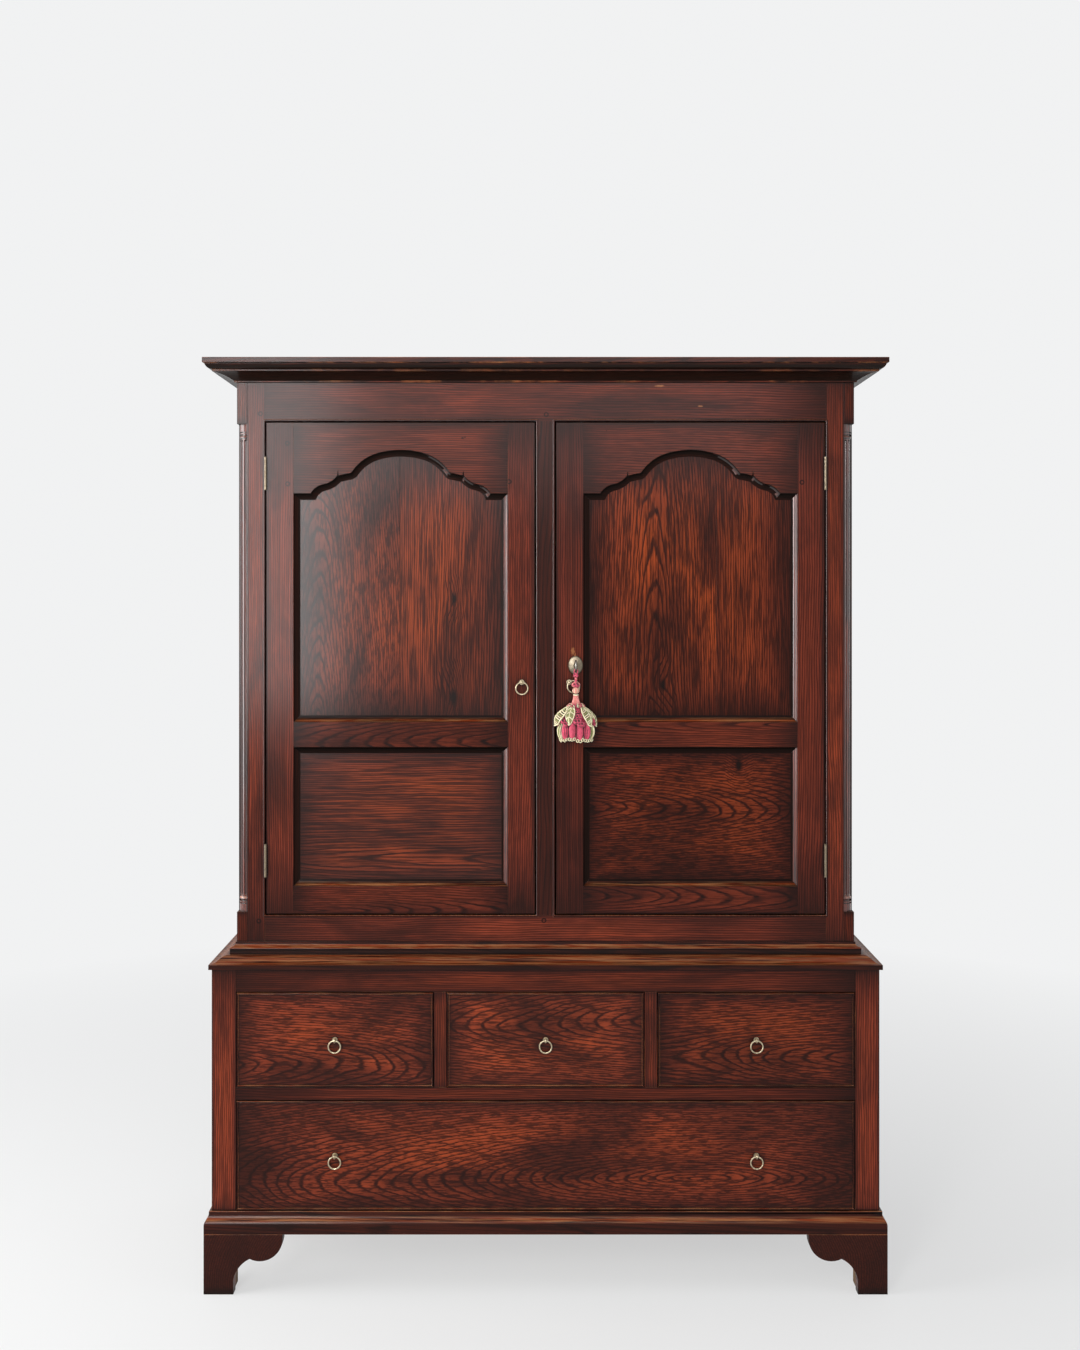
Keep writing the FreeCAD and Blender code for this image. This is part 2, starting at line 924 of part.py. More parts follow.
def cusp_nick(name, side):
    """The carved nick that draws each cusp out to a point."""
    wide = size.moulding_width
    tip = (side * (size.cusp_half + size.nick_lean), shoulder + size.cusp_rise + wide + size.nick_rise)
    half = size.nick_width / 2
    middle = side * (size.cusp_half + wide / 3)
    foot = shoulder + size.cusp_rise + wide / 3
    points = [tip, (middle - half, foot), (middle + half, foot)]
    piece = doc.addObject("Part::Feature", name)
    piece.Shape = thick_face(outline_wire(points, 0, 0), size.nick_deep.value)
    return piece


def panel(name, points):
    """A flat panel with its edges in the grooves of the frame."""
    piece = doc.addObject("Part::Feature", name)
    wire = outline_wire(points, size.groove_depth.value, size.panel_recess.value)
    piece.Shape = thick_face(wire, size.panel_thick.value)
    return piece


def stile_outline():
    """The hinge stile, with its moulding mitred at the corners of the panels."""
    flat = size.door_stile
    return [
        (0, 0),
        (flat, 0),
        (flat, lower_foot - size.moulding_width - door_bottom),
        (sight, lower_foot - door_bottom),
        (sight, lower_head - door_bottom),
        (flat, lower_head + size.moulding_width - door_bottom),
        (flat, upper_foot - size.moulding_width - door_bottom),
        (sight, upper_foot - door_bottom),
        (sight, shoulder - door_bottom),
        (flat, shoulder + size.moulding_width - door_bottom),
        (flat, door_top - door_bottom),
        (0, door_top - door_bottom),
    ]


def doors():
    upper = [(panel_half, upper_foot), *arched_outline(), (-panel_half, upper_foot)]
    lower = [
        (panel_half, lower_foot),
        (panel_half, lower_head),
        (-panel_half, lower_head),
        (-panel_half, lower_foot),
    ]
    upper_panel = panel("upper_panel", upper)
    lower_panel = panel("lower_panel", lower)
    openings = [sunk_opening("upper_opening", upper), sunk_opening("lower_opening", lower)]
    openings += [cusp_nick("right_nick", 1), cusp_nick("left_nick", -1)]
    deep = (upper_front, door_back)
    slab = board("door_slab", (door_left, door_right), deep, (door_bottom, door_top))
    frame = cut("door_frame", slab, *openings, upper_panel, lower_panel)
    stile = padded(
        "stile_shape",
        stile_outline(),
        size.door_thick,
        (1, 0, 0),
        (0, 0, 1),
        door_left,
        door_back,
        door_bottom,
    )
    other = padded(
        "other_stile_shape",
        [(-across, up) for across, up in ((measure(p[0]), p[1]) for p in stile_outline())],
        size.door_thick,
        (1, 0, 0),
        (0, 0, 1),
        door_right,
        door_back,
        door_bottom,
    )
    rails = cut("door_rails", frame, stile, other)
    middle = (upper_foot + shoulder) / 2
    above = board("above_middle", (door_left, door_right), deep, (middle, door_top))
    below = board("below_middle", (door_left, door_right), deep, (door_bottom, middle))
    members = {
        "stiles": [common("hinge_stile", frame, stile), common("meeting_stile", frame, other)],
        "arched_rail": [common("arched_rail", rails, above)],
        "lower_rails": [common("lower_rails", rails, below)],
        "panels": [upper_panel, lower_panel],
    }
    for part, pieces in members.items():
        node("left_door_" + part, *pieces)
        copies = [mirrored(piece.Name + "_right", piece) for piece in pieces]
        if part == "stiles":
            copies[1] = cut("lock_stile", copies[1], keyhole("stile_keyhole"))
        node("right_door_" + part, *copies)


# ---------------------------------------------------------------- hinges

hinge_x = -opening_side + size.door_gap / 2
hinge_y = upper_front - size.hinge_proud


def hinge_leaf(name, knuckles, low, plate_x, bored):
    """One leaf of a butt hinge, with the knuckles that it carries."""
    fifth = size.hinge_length / 5
    plate_front = upper_front + size.knuckle_gap
    plate_deep = (plate_front, upper_front + size.leaf_width)
    pieces = [board(name + "_plate", plate_x, plate_deep, (low, low + size.hinge_length))]
    for index in knuckles:
        start = low + fifth * index + (size.knuckle_gap / 2 if index else 0)
        end = low + fifth * (index + 1) - (size.knuckle_gap / 2 if index < 4 else 0)
        pieces.append(rod(name + "_knuckle", size.knuckle_radius, end - start, hinge_x, hinge_y, start))
        pieces.append(board(name + "_tab", plate_x, (hinge_y, plate_front), (start, end)))
    if bored:
        hole = size.hinge_pin_radius + size.hinge_pin_fit
        leaf = fuse(name + "_leaf", *pieces)
        return cut(name, leaf, rod(name + "_bore", hole, size.hinge_length, hinge_x, hinge_y, low))
    pieces.append(rod(name + "_pin", size.hinge_pin_radius, size.hinge_length, hinge_x, hinge_y, low))
    return fuse(name, *pieces)


def hinges():
    lows = (
        door_bottom + size.lower_hinge_inset,
        door_top - size.hinge_inset - size.hinge_length,
    )
    frame_x = (-opening_side, -opening_side + size.leaf_thick)
    door_x = (door_left - size.leaf_thick, door_left)
    fixed = [hinge_leaf("fixed_leaf", (0, 2, 4), low, frame_x, False) for low in lows]
    swinging = [hinge_leaf("door_leaf", (1, 3), low, door_x, True) for low in lows]
    node("hinge_frame_leaves", *fixed, *[mirrored("fixed_leaf_right", leaf) for leaf in fixed])
    node("left_door_hinge_leaves", *swinging)
    node("right_door_hinge_leaves", *[mirrored("door_leaf_right", leaf) for leaf in swinging])


# ---------------------------------------------------------------- ring pulls


def ring_pull(name, x, face, z, turn=0):
    """A ring hanging in the eye of a staple, which stands out of a small rosette."""
    eye_y = face - size.eye_proud
    lying = {"axis": (1, 0, 0), "turn": 90}
    staple = fuse(
        name + "_staple_shape",
        rod(name + "_rosette", size.rosette_radius, size.rosette_thick, x, face, z, **lying),
        rod(name + "_shank", size.staple_wire, size.eye_proud - size.eye_radius, x, face, z, **lying),
        hoop(name + "_eye", size.eye_radius, size.eye_wire, x, eye_y, z, axis=(0, 1, 0), turn=90 - turn),
    )
    across = size.ring_radius * math.sin(math.radians(turn))
    down = size.ring_radius * math.cos(math.radians(turn))
    ring = hoop(name + "_hoop", size.ring_radius, size.ring_wire, x + across, eye_y, z - down, **lying)
    return staple, ring


def door_pulls():
    pull_x = muntin_side + size.door_gap + size.pull_from_edge
    staple, ring = ring_pull("left", -pull_x, upper_front, size.pull_height)
    node("left_ring_staple", staple)
    node("left_ring", ring)
    turn = size.right_eye_turn.value
    staple, ring = ring_pull("right", pull_x, upper_front, size.pull_height, turn)
    node("right_ring_staple", staple)
    node("right_ring", ring)


# ---------------------------------------------------------------- lock, key and tassel

lock_edge = muntin_side + size.door_gap
lock_x = lock_edge + size.lock_from_edge
bolt_front = door_back + size.lock_deep - size.lock_wall - size.bolt_clearance - size.bolt_thick
bow_y = upper_front - size.key_reach - size.bow_radius
bow_foot = size.lock_height - size.bow_radius


def keyhole(name):
    """The round hole through the door and its plate for the key's shank."""
    inner_end = door_back + size.lock_wall + 1
    through = inner_end - upper_front + size.plate_thick + 1
    return rod(
        name, size.keyhole_radius, through, lock_x, inner_end, size.lock_height, axis=(1, 0, 0), turn=90
    )


def lock():
    oval = doc.addObject("Part::Ellipse", "plate_oval")
    tie(oval, "MajorRadius", size.plate_half_height)
    tie(oval, "MinorRadius", size.plate_half_width)
    oval.Placement = FreeCAD.Placement(
        FreeCAD.Vector(),
        FreeCAD.Rotation(FreeCAD.Vector(0, 0, 1), FreeCAD.Vector(1, 0, 0), FreeCAD.Vector(0, 1, 0), "XYZ"),
    )
    for letter, amount in zip("xyz", (lock_x, upper_front, size.lock_height)):
        tie(oval, f"Placement.Base.{letter}", amount)
    plate = doc.addObject("Part::Extrusion", "plate_blank")
    plate.Base = oval
    plate.DirMode = "Custom"
    plate.Dir = FreeCAD.Vector(0, -1, 0)
    plate.Solid = True
    tie(plate, "LengthFwd", size.plate_thick)
    node("escutcheon", cut("plate", plate, keyhole("plate_keyhole")))

    half = size.lock_tall / 2
    wall = size.lock_wall
    levels = (size.lock_height - half, size.lock_height + half)
    x = (lock_edge + size.bolt_clearance, lock_edge + size.bolt_clearance + size.lock_width)
    room = size.bolt_clearance
    shell = board("lock_box", x, (door_back, door_back + size.lock_deep), levels)
    inside = board(
        "lock_inside",
        (x[0] + wall, x[1] - wall),
        (door_back + wall, door_back + size.lock_deep - wall),
        (levels[0] + wall, levels[1] - wall),
    )
    bolt_levels = (size.lock_height - size.bolt_tall / 2, size.lock_height + size.bolt_tall / 2)
    slot = board(
        "bolt_slot",
        (x[0] - 1, x[0] + wall + 1),
        (bolt_front - room, bolt_front + size.bolt_thick + room),
        (bolt_levels[0] - room, bolt_levels[1] + room),
    )
    node("lock_case", cut("lock_shell", shell, inside, slot, keyhole("case_keyhole")))
    node(
        "lock_bolt",
        board(
            "bolt",
            (x[0], x[0] + size.bolt_long),
            (bolt_front, bolt_front + size.bolt_thick),
            bolt_levels,
        ),
    )


def key():
    lying = {"axis": (1, 0, 0), "turn": 90}
    tip = bolt_front - size.bolt_clearance
    shank = tip - bow_y - size.bow_radius
    bit_y = (door_back + size.lock_wall + size.bolt_clearance, tip)
    level = size.lock_height
    pieces = [
        rod("key_shank", size.key_radius, shank, lock_x, tip, level, **lying),
        hoop("key_bow", size.bow_radius, size.bow_wire, lock_x, bow_y, level, axis=(0, 1, 0), turn=90),
        board(
            "key_bit",
            (lock_x - size.bit_thick / 2, lock_x + size.bit_thick / 2),
            bit_y,
            (size.lock_height - size.key_radius - size.bit_long, size.lock_height),
        ),
    ]
    node("key", fuse("key_shape", *pieces))


def tassel():
    """A tassel on a looped cord, with its knots, cone and wide skirt."""
    over = size.bow_wire + size.tassel_cord_radius + size.fit_gap
    top = bow_foot
    foot = top - size.tassel_cord_drop
    loop = doc.addObject("Part::Feature", "tassel_loop")
    loop.Shape = cord_tube(
        [
            FreeCAD.Vector(lock_x.value - over.value, bow_y.value, foot.value),
            FreeCAD.Vector(lock_x.value - over.value, bow_y.value, top.value),
            FreeCAD.Vector(lock_x.value, bow_y.value, top.value + over.value),
            FreeCAD.Vector(lock_x.value + over.value, bow_y.value, top.value),
            FreeCAD.Vector(lock_x.value + over.value, bow_y.value, foot.value),
        ]
    )
    node("tassel_cord", loop)
    long = 2 * size.tassel_cord_drop.value + math.pi * over.value
    print(f"tassel cord: {long:.1f} mm long, turning at a radius of {over.value:.1f} mm")

    sections = [
        (size.cone_drop, size.cone_top_radius, size.cone_top_radius),
        (size.cone_foot_drop, size.cone_foot_radius, size.cone_foot_radius),
        (size.shoulder_drop, size.shoulder_half_width, size.shoulder_half_depth),
        (size.skirt_drop, size.skirt_half_width, size.skirt_half_depth),
        (size.hem_drop, size.hem_half_width, size.hem_half_depth),
    ]
    ovals = []
    for drop, across, back_to_front in sections:
        oval = doc.addObject("Part::Ellipse", "tassel_section")
        tie(oval, "MajorRadius", across)
        tie(oval, "MinorRadius", back_to_front)
        ovals.append(place(oval, lock_x, bow_y, top - drop))
    body = doc.addObject("Part::Loft", "tassel_body")
    body.Sections = ovals
    body.Solid = True
    body.Ruled = True
    beads = [
        ball("tassel_knot", size.knot_radius, lock_x, bow_y, top - size.knot_drop),
        ball("second_knot", size.second_knot_radius, lock_x, bow_y, top - size.second_knot_drop),
        ball("tassel_ball", size.ball_radius, lock_x, bow_y, top - size.ball_drop),
    ]
    neck_tall = size.cone_drop - size.knot_drop
    neck = rod("tassel_neck", size.tassel_neck_radius, neck_tall, lock_x, bow_y, top - size.cone_drop)
    node("tassel", cut("tassel_shape", fuse("tassel_solid", body, neck, *beads), loop))


def cord_tube(points):
    """The loop's two straight legs and the round turn over the key's bow."""
    left_foot, left_top, crown, right_top, right_foot = points
    path = Part.Wire(
        [
            Part.LineSegment(left_foot, left_top).toShape(),
            Part.Arc(left_top, crown, right_top).toShape(),
            Part.LineSegment(right_top, right_foot).toShape(),
        ]
    )
    round_end = Part.Circle(left_foot, FreeCAD.Vector(0, 0, 1), size.tassel_cord_radius.value)
    return path.makePipeShell([Part.Wire(round_end.toShape())], True, True)


# ---------------------------------------------------------------- the chest


def short_drawer_left(index):
    return -drawers_side + (short_wide + size.divider_width) * index


def chest_front():
    front = (base_front, base_frame_back)
    full = (size.foot_height, base_case_top)
    stile = board("base_stile", (drawers_side, base_side), front, full)
    node("base_front_stiles", *both_sides("base_stile_left", stile))
    between = (-drawers_side, drawers_side)
    levels = [(short_top, base_case_top), (long_top, short_bottom), (size.foot_height, long_bottom)]
    node("base_front_rails", *[board("base_rail", between, front, level) for level in levels])
    dividers = []
    for index in (1, 2):
        right = short_drawer_left(index)
        dividers.append(
            board("divider", (right - size.divider_width, right), front, (short_bottom, short_top))
        )
    node("drawer_dividers", *dividers)


def drawer_runners():
    """Runners under the drawers' sides, with guides on top that keep the drawers straight."""
    deep = (base_frame_back, back_face)
    lap = size.runner_lap
    end_guide = (drawers_side, base_inside)
    end_runner = (drawers_side - lap, base_inside)
    pieces = []
    for level in (short_bottom, long_bottom):
        under = (level - size.board_thick, level)
        over = (level, level + size.guide_height)
        for name, x, z in (("runner", end_runner, under), ("guide", end_guide, over)):
            pieces += both_sides(name + "_left", board(name, x, deep, z))
    under = (short_bottom - size.board_thick, short_bottom)
    over = (short_bottom, short_bottom + size.guide_height)
    for index in (1, 2):
        right = short_drawer_left(index)
        left = right - size.divider_width
        pieces.append(board("middle_runner", (left - lap, right + lap), deep, under))
        pieces.append(board("middle_guide", (left, right), deep, over))
    node("drawer_runners", *pieces)


def drawer(label, left, right, low, high, pulls):
    """A drawer with a beaded front and a ring pull at each of the given places."""
    gap = size.drawer_gap
    x = (left + gap, right - gap)
    z = (low + gap, high - gap)
    bead = size.cock_bead
    proud = base_front - size.cock_proud
    bead_back = base_front + size.drawer_front / 2
    block = board(label + "_bead_block", x, (proud, bead_back), z)
    hole = board(
        label + "_bead_hole",
        (x[0] + bead, x[1] - bead),
        (proud - 1, bead_back + 1),
        (z[0] + bead, z[1] - bead),
    )
    bead_ring = cut(label + "_bead_ring", block, hole)
    beading = rounded(label + "_bead", bead_ring, proud, bead / 2 - 0.1)
    face_back = base_front + size.drawer_front
    face = cut(label + "_face", board(label + "_face_board", x, (base_front, face_back), z), beading)
    outer = (left + size.drawer_clearance, right - size.drawer_clearance)
    inner = (outer[0] + size.drawer_side, outer[1] - size.drawer_side)
    rear = back_face - size.drawer_back_space
    foot = low + size.fit_gap
    floor = foot + size.drawer_bottom_lift
    rim = high - size.drawer_side
    walls = (rear - size.drawer_side, rear)
    node(
        label,
        face,
        beading,
        board(label + "_side", (outer[0], inner[0]), (face_back, rear), (foot, rim)),
        board(label + "_other_side", (inner[1], outer[1]), (face_back, rear), (foot, rim)),
        board(label + "_back", inner, walls, (floor, rim)),
        board(label + "_bottom", inner, (face_back, walls[0]), (floor, floor + size.drawer_bottom)),
    )
    level = (low + high) / 2
    parts = [ring_pull(f"{label}_pull_{index}", pull, base_front, level) for index, pull in enumerate(pulls)]
    node(label + "_staple", *[staple for staple, ring in parts])
    for side, (staple, ring) in zip(("_ring",) if len(parts) == 1 else ("_left_ring", "_right_ring"), parts):
        node(label + side, ring)


def drawers():
    for index, name in enumerate(("left_drawer", "middle_drawer", "right_drawer")):
        left = short_drawer_left(index)
        right = left + short_wide
        drawer(name, left, right, short_bottom, short_top, [(left + right) / 2])
    pull = short_wide + size.divider_width
    drawer("long_drawer", -drawers_side, drawers_side, long_bottom, long_top, [-pull, pull])


def bracket_outline():
    """A bracket foot's board from the corner of the case, with its cyma-cut inner edge."""
    tall = size.foot_height
    return [
        (0, 0),
        (size.foot_toe, 0),
        (size.foot_toe, size.foot_tip, -size.foot_curve),
        (size.foot_shoulder, size.foot_hollow, size.foot_hollow_curve),
        (size.foot_length, tall - size.foot_lip),
        (size.foot_length, tall),
        (0, tall),
    ]


def bracket_feet():
    """Two boards mitred at each front corner, and two meeting behind each back one."""
    out = size.plinth_projection
    thick = size.foot_thick
    outline = bracket_outline()
    corner_x = base_side + out
    corner_y = base_front - out
    wedge = size.foot_thick * 2
    clear = size.foot_block_lift
    front = padded("foot_front", outline, thick, (-1, 0, 0), (0, 0, 1), corner_x, corner_y, 0)
    side = padded(
        "foot_side",
        [(across, up, -arc[0]) if arc else (across, up) for across, up, *arc in outline],
        thick,
        (0, 1, 0),
        (0, 0, 1),
        corner_x - thick,
        corner_y,
        0,
    )
    wedge_tall = size.foot_height + clear * 2
    front_mitre = board("foot_front_mitre", (0, wedge), (0, wedge), (0, wedge_tall))
    place(front_mitre, corner_x - thick, corner_y + thick, -clear, turn=-45)
    side_mitre = board("foot_side_mitre", (0, wedge), (0, wedge), (0, wedge_tall))
    place(side_mitre, corner_x - thick, corner_y + thick, -clear, turn=225)
    rear_side = padded("foot_rear_side", outline, thick, (0, -1, 0), (0, 0, 1), corner_x, back, 0)
    rear = padded("foot_rear", outline, thick, (-1, 0, 0), (0, 0, 1), corner_x - thick, back - thick, 0)
    mitred = [cut("foot_front_cut", front, front_mitre), cut("foot_side_cut", side, side_mitre)]
    right = mitred + [rear_side, rear]
    inner_x = corner_x - thick
    block = size.foot_block
    across = (inner_x - block, inner_x)
    tall = (clear, size.foot_height)
    blocks = [
        board("front_block", across, (corner_y + thick, corner_y + thick + block), tall),
        board("rear_block", across, (back - thick - block, back - thick), tall),
    ]
    node("bracket_feet", *right, *[mirrored(piece.Name + "_left", piece) for piece in right])
    node("foot_blocks", *blocks, *[mirrored(piece.Name + "_left", piece) for piece in blocks])


# ---------------------------------------------------------------- the whole press


def build():
    cornice()
    upper_front_frame()
    upper_corners()
    middle = (lower_head + upper_foot) / 2
    mid_rail = (middle - size.side_mid_rail / 2, middle + size.side_mid_rail / 2)
    framed_side(
        "upper", upper_side, upper_front + size.corner_block, size.base_height, size.press_height, mid_rail
    )
    back_boards("upper_back_boards", upper_inside, size.base_height, size.press_height)
    upper_inside_boards()
    waist_moulding()
    doors()
    hinges()
    door_pulls()
    lock()
    key()
    tassel()
    base_top_moulding()
    chest_front()
    framed_side("base", base_side, base_frame_back, size.foot_height, base_case_top)
    back_boards("base_back_boards", base_inside, size.foot_height, base_case_top)
    drawer_runners()
    drawers()
    plinth_moulding()
    bracket_feet()


def faults():
    """What is wrong with any object of the document or any sub-part's shape."""
    found = [
        f"{item.Name}: {item.State}"
        for item in doc.Objects
        if "Invalid" in item.State or "Error" in item.State
    ]
    for item in NODES:
        if item.Shape.isNull() or not item.Shape.isValid() or not item.Shape.Solids:
            found.append(f"{item.Label}: no valid solid")
    return found


build()
doc.recompute()
problems = faults()
if problems:
    raise SystemExit("\n".join(problems))
os.makedirs("parts", exist_ok=True)
for item in NODES:
    item.Shape.exportStep(f"parts/{item.Label}.step")
print(len(NODES), "sub-parts,", sum(len(item.Shape.Solids) for item in NODES), "solids")
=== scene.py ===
"""Linen press: waxed oak with worn arrises, aged brass, a steel key and a yarn tassel."""

import json
import math
import random

import bpy
from mathutils import Euler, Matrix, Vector


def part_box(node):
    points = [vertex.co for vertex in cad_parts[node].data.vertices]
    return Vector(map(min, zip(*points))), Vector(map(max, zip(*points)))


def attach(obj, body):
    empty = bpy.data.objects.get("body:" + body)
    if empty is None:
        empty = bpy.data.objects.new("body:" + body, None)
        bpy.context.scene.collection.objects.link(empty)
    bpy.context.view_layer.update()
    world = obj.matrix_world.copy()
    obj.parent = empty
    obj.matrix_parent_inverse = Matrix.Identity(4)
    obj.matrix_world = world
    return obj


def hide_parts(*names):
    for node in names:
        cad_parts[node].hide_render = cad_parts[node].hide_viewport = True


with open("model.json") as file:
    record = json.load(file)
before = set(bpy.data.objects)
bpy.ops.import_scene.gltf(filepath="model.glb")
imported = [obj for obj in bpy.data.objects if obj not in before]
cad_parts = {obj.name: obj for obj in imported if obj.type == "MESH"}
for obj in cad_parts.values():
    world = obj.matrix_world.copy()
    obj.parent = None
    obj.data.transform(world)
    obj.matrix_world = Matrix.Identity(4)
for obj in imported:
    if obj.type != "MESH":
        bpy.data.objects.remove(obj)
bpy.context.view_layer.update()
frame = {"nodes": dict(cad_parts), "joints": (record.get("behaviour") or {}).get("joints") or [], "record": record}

bl_info = {
    "name": "Linen Press",
    "version": (1, 0, 0),
    "blender": (4, 5, 0),
    "location": "3D View > Sidebar > Linen Press",
    "description": "Dresses the linen press with oak, brass, its key and its tassel",
    "category": "Object",
}

WELD = 0.00001
MM = 0.001

# What each board is made for. The rest of the nodes are brass, steel or yarn.
FRONT_OAK = ["upper_front_stiles", "upper_front_rails", "centre_muntin", "opening_beads", "corner_blocks"]
FRONT_OAK += ["corner_columns", "upper_side_frames", "upper_side_panels", "base_front_stiles"]
FRONT_OAK += ["base_front_rails", "drawer_dividers", "base_side_frames", "base_side_panels", "bracket_feet"]
MOULDED_OAK = ["waist_moulding", "base_top_moulding", "base_top_board", "plinth_moulding"]
INNER_OAK = ["upper_back_boards", "upper_top_and_floor", "shelves", "shelf_bearers"]
INNER_OAK += ["base_back_boards", "drawer_runners", "foot_blocks"]
# Each drawer with its front's brightness.
DRAWERS = {"left_drawer": 1.2, "middle_drawer": 1.25, "right_drawer": 0.72, "long_drawer": 1.0}
BODY_OF = {node: body for body, group in frame["record"]["behaviour"]["bodies"].items() for node in group}


# ---------------------------------------------------------------- settings


def colour(name, description, default):
    return bpy.props.FloatVectorProperty(name=name, description=description, default=default, subtype="COLOR")


def length(name, description, default):
    made = {"name": name, "description": description, "default": default}
    return bpy.props.FloatProperty(**made, min=0.0001, unit="LENGTH", precision=4)


class OakSettings(bpy.types.PropertyGroup):
    arris: length("Worn arris", "Width of the rounding that wear has left on each edge", 0.0011)
    deep: colour("Deep brown", "Oak where old wax and dirt have darkened it", (0.013, 0.0042, 0.003))
    body: colour("Red brown", "Ordinary colour of the waxed oak", (0.2, 0.033, 0.014))
    glow: colour("Orange brown", "Oak that polishing has cleared, in mid-panel", (0.38, 0.063, 0.014))
    worn: colour("Worn edge", "Bare oak on rubbed edges", (0.52, 0.2, 0.075))
    inner: colour("Inner oak", "Dry, unpolished oak inside the press", (0.29, 0.17, 0.085))
    ring_pitch: length("Year rings", "Distance from one year ring to the next", 0.0047)


class MetalSettings(bpy.types.PropertyGroup):
    brass: colour("Brass", "Rubbed brass", (0.64, 0.54, 0.37))
    tarnish: colour("Tarnish", "Old brass in its hollows", (0.14, 0.105, 0.065))
    plate: colour("Plate", "Greyed brass of the hinges and the key plate", (0.2, 0.165, 0.12))
    steel: colour("Steel", "Hand-worn steel of the key", (0.34, 0.32, 0.29))


class TasselSettings(bpy.types.PropertyGroup):
    rose: colour("Rose", "Rose yarn", (0.68, 0.07, 0.14))
    salmon: colour("Salmon", "Satin of the waist and the ball", (0.82, 0.26, 0.22))
    cream: colour("Cream", "Cream yarn", (0.94, 0.82, 0.52))
    green: colour("Green", "Pale green yarn", (0.34, 0.36, 0.12))
    # Dark yarn that stands for shade: painted shade at the puffs' edges and in the knots.
    crimson_shade: colour("Crimson", "Dark yarn in the hollows of the skirt", (0.16, 0.01, 0.022))
    puffs: bpy.props.IntProperty(name="Puffs", description="Puffs of yarn in the skirt", default=12, min=6)


class StageSettings(bpy.types.PropertyGroup):
    lens: bpy.props.FloatProperty(
        name="Lens", description="Focal length in millimetres", default=40, min=10, max=200
    )
    stand: bpy.props.FloatVectorProperty(
        name="Camera", description="Where the camera stands", default=(-0.0117, -3.4015, 1.45), unit="LENGTH"
    )
    drop: bpy.props.FloatProperty(
        name="Shift", description="Vertical shift of the lens", default=-0.0556, precision=4
    )
    window: bpy.props.FloatProperty(
        name="Window", description="Power of the soft light from the left", default=116, unit="POWER"
    )
    fill: bpy.props.FloatProperty(
        name="Fill", description="Power of the soft light from the right", default=21, unit="POWER"
    )


SETTINGS = {
    "press_oak": OakSettings,
    "press_metal": MetalSettings,
    "press_tassel": TasselSettings,
    "press_stage": StageSettings,
}


# ---------------------------------------------------------------- modelling by hand


def only(*objects):
    """Selects these objects alone, the last one active."""
    bpy.ops.object.select_all(action="DESELECT")
    for item in objects:
        item.select_set(True)
    bpy.context.view_layer.objects.active = objects[-1]


def in_edit_mode(piece, *steps):
    """Does each step with the whole mesh selected in edit mode."""
    only(piece)
    bpy.ops.object.mode_set(mode="EDIT")
    for step in steps:
        bpy.ops.mesh.select_all(action="SELECT")
        step()
    bpy.ops.object.mode_set(mode="OBJECT")


def apply_modifier(piece, kind, **values):
    only(piece)
    made = piece.modifiers.new(kind.title(), kind)
    for key, value in values.items():
        setattr(made, key, value)
    bpy.ops.object.modifier_apply(modifier=made.name)


def settle(piece, name):
    """Gives a new piece its name and puts its place into its mesh."""
    only(piece)
    bpy.ops.object.transform_apply(location=True, rotation=True, scale=True)
    piece.name = name
    piece.data.name = name
    return piece


def joined(name, pieces):
    only(*pieces)
    if len(pieces) > 1:
        bpy.ops.object.join()
    return settle(bpy.context.view_layer.objects.active, name)


def smooth(piece, degrees=35):
    """Smooth shading across soft edges, led by the large faces so that they look flat."""
    only(piece)
    bpy.ops.object.shade_smooth_by_angle(angle=math.radians(degrees))
    apply_modifier(piece, "WEIGHTED_NORMAL", keep_sharp=True, weight=100)
    return piece


def copy_of_node(name, new_name):
    """A welded copy of a CAD node's mesh, with its flat faces whole."""
    piece = frame["nodes"][name].copy()
    piece.data = piece.data.copy()
    piece.parent = None
    for key in list(piece.keys()):
        del piece[key]
    bpy.context.scene.collection.objects.link(piece)
    piece.data.materials.clear()
    piece.name = new_name
    in_edit_mode(
        piece,
        lambda: bpy.ops.mesh.remove_doubles(threshold=WELD),
        lambda: bpy.ops.mesh.dissolve_limited(angle_limit=math.radians(0.4)),
    )
    return piece


def loose_parts(piece):
    in_edit_mode(piece, lambda: bpy.ops.mesh.separate(type="LOOSE"))
    parts = list(bpy.context.selected_objects)
    return sorted(parts, key=lambda part: tuple(round(c, 4) for corner in box_of(part) for c in corner))


def box_of(piece):
    corners = [vertex.co for vertex in piece.data.vertices]
    low = Vector([min(c[i] for c in corners) for i in range(3)])
    high = Vector([max(c[i] for c in corners) for i in range(3)])
    return low, high


def stand_in(piece, *nodes, slot):
    """The piece rides with its nodes' body and is shown in their place."""
    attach(piece, BODY_OF[nodes[0]])
    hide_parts(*nodes)
    return piece


# ---------------------------------------------------------------- shading


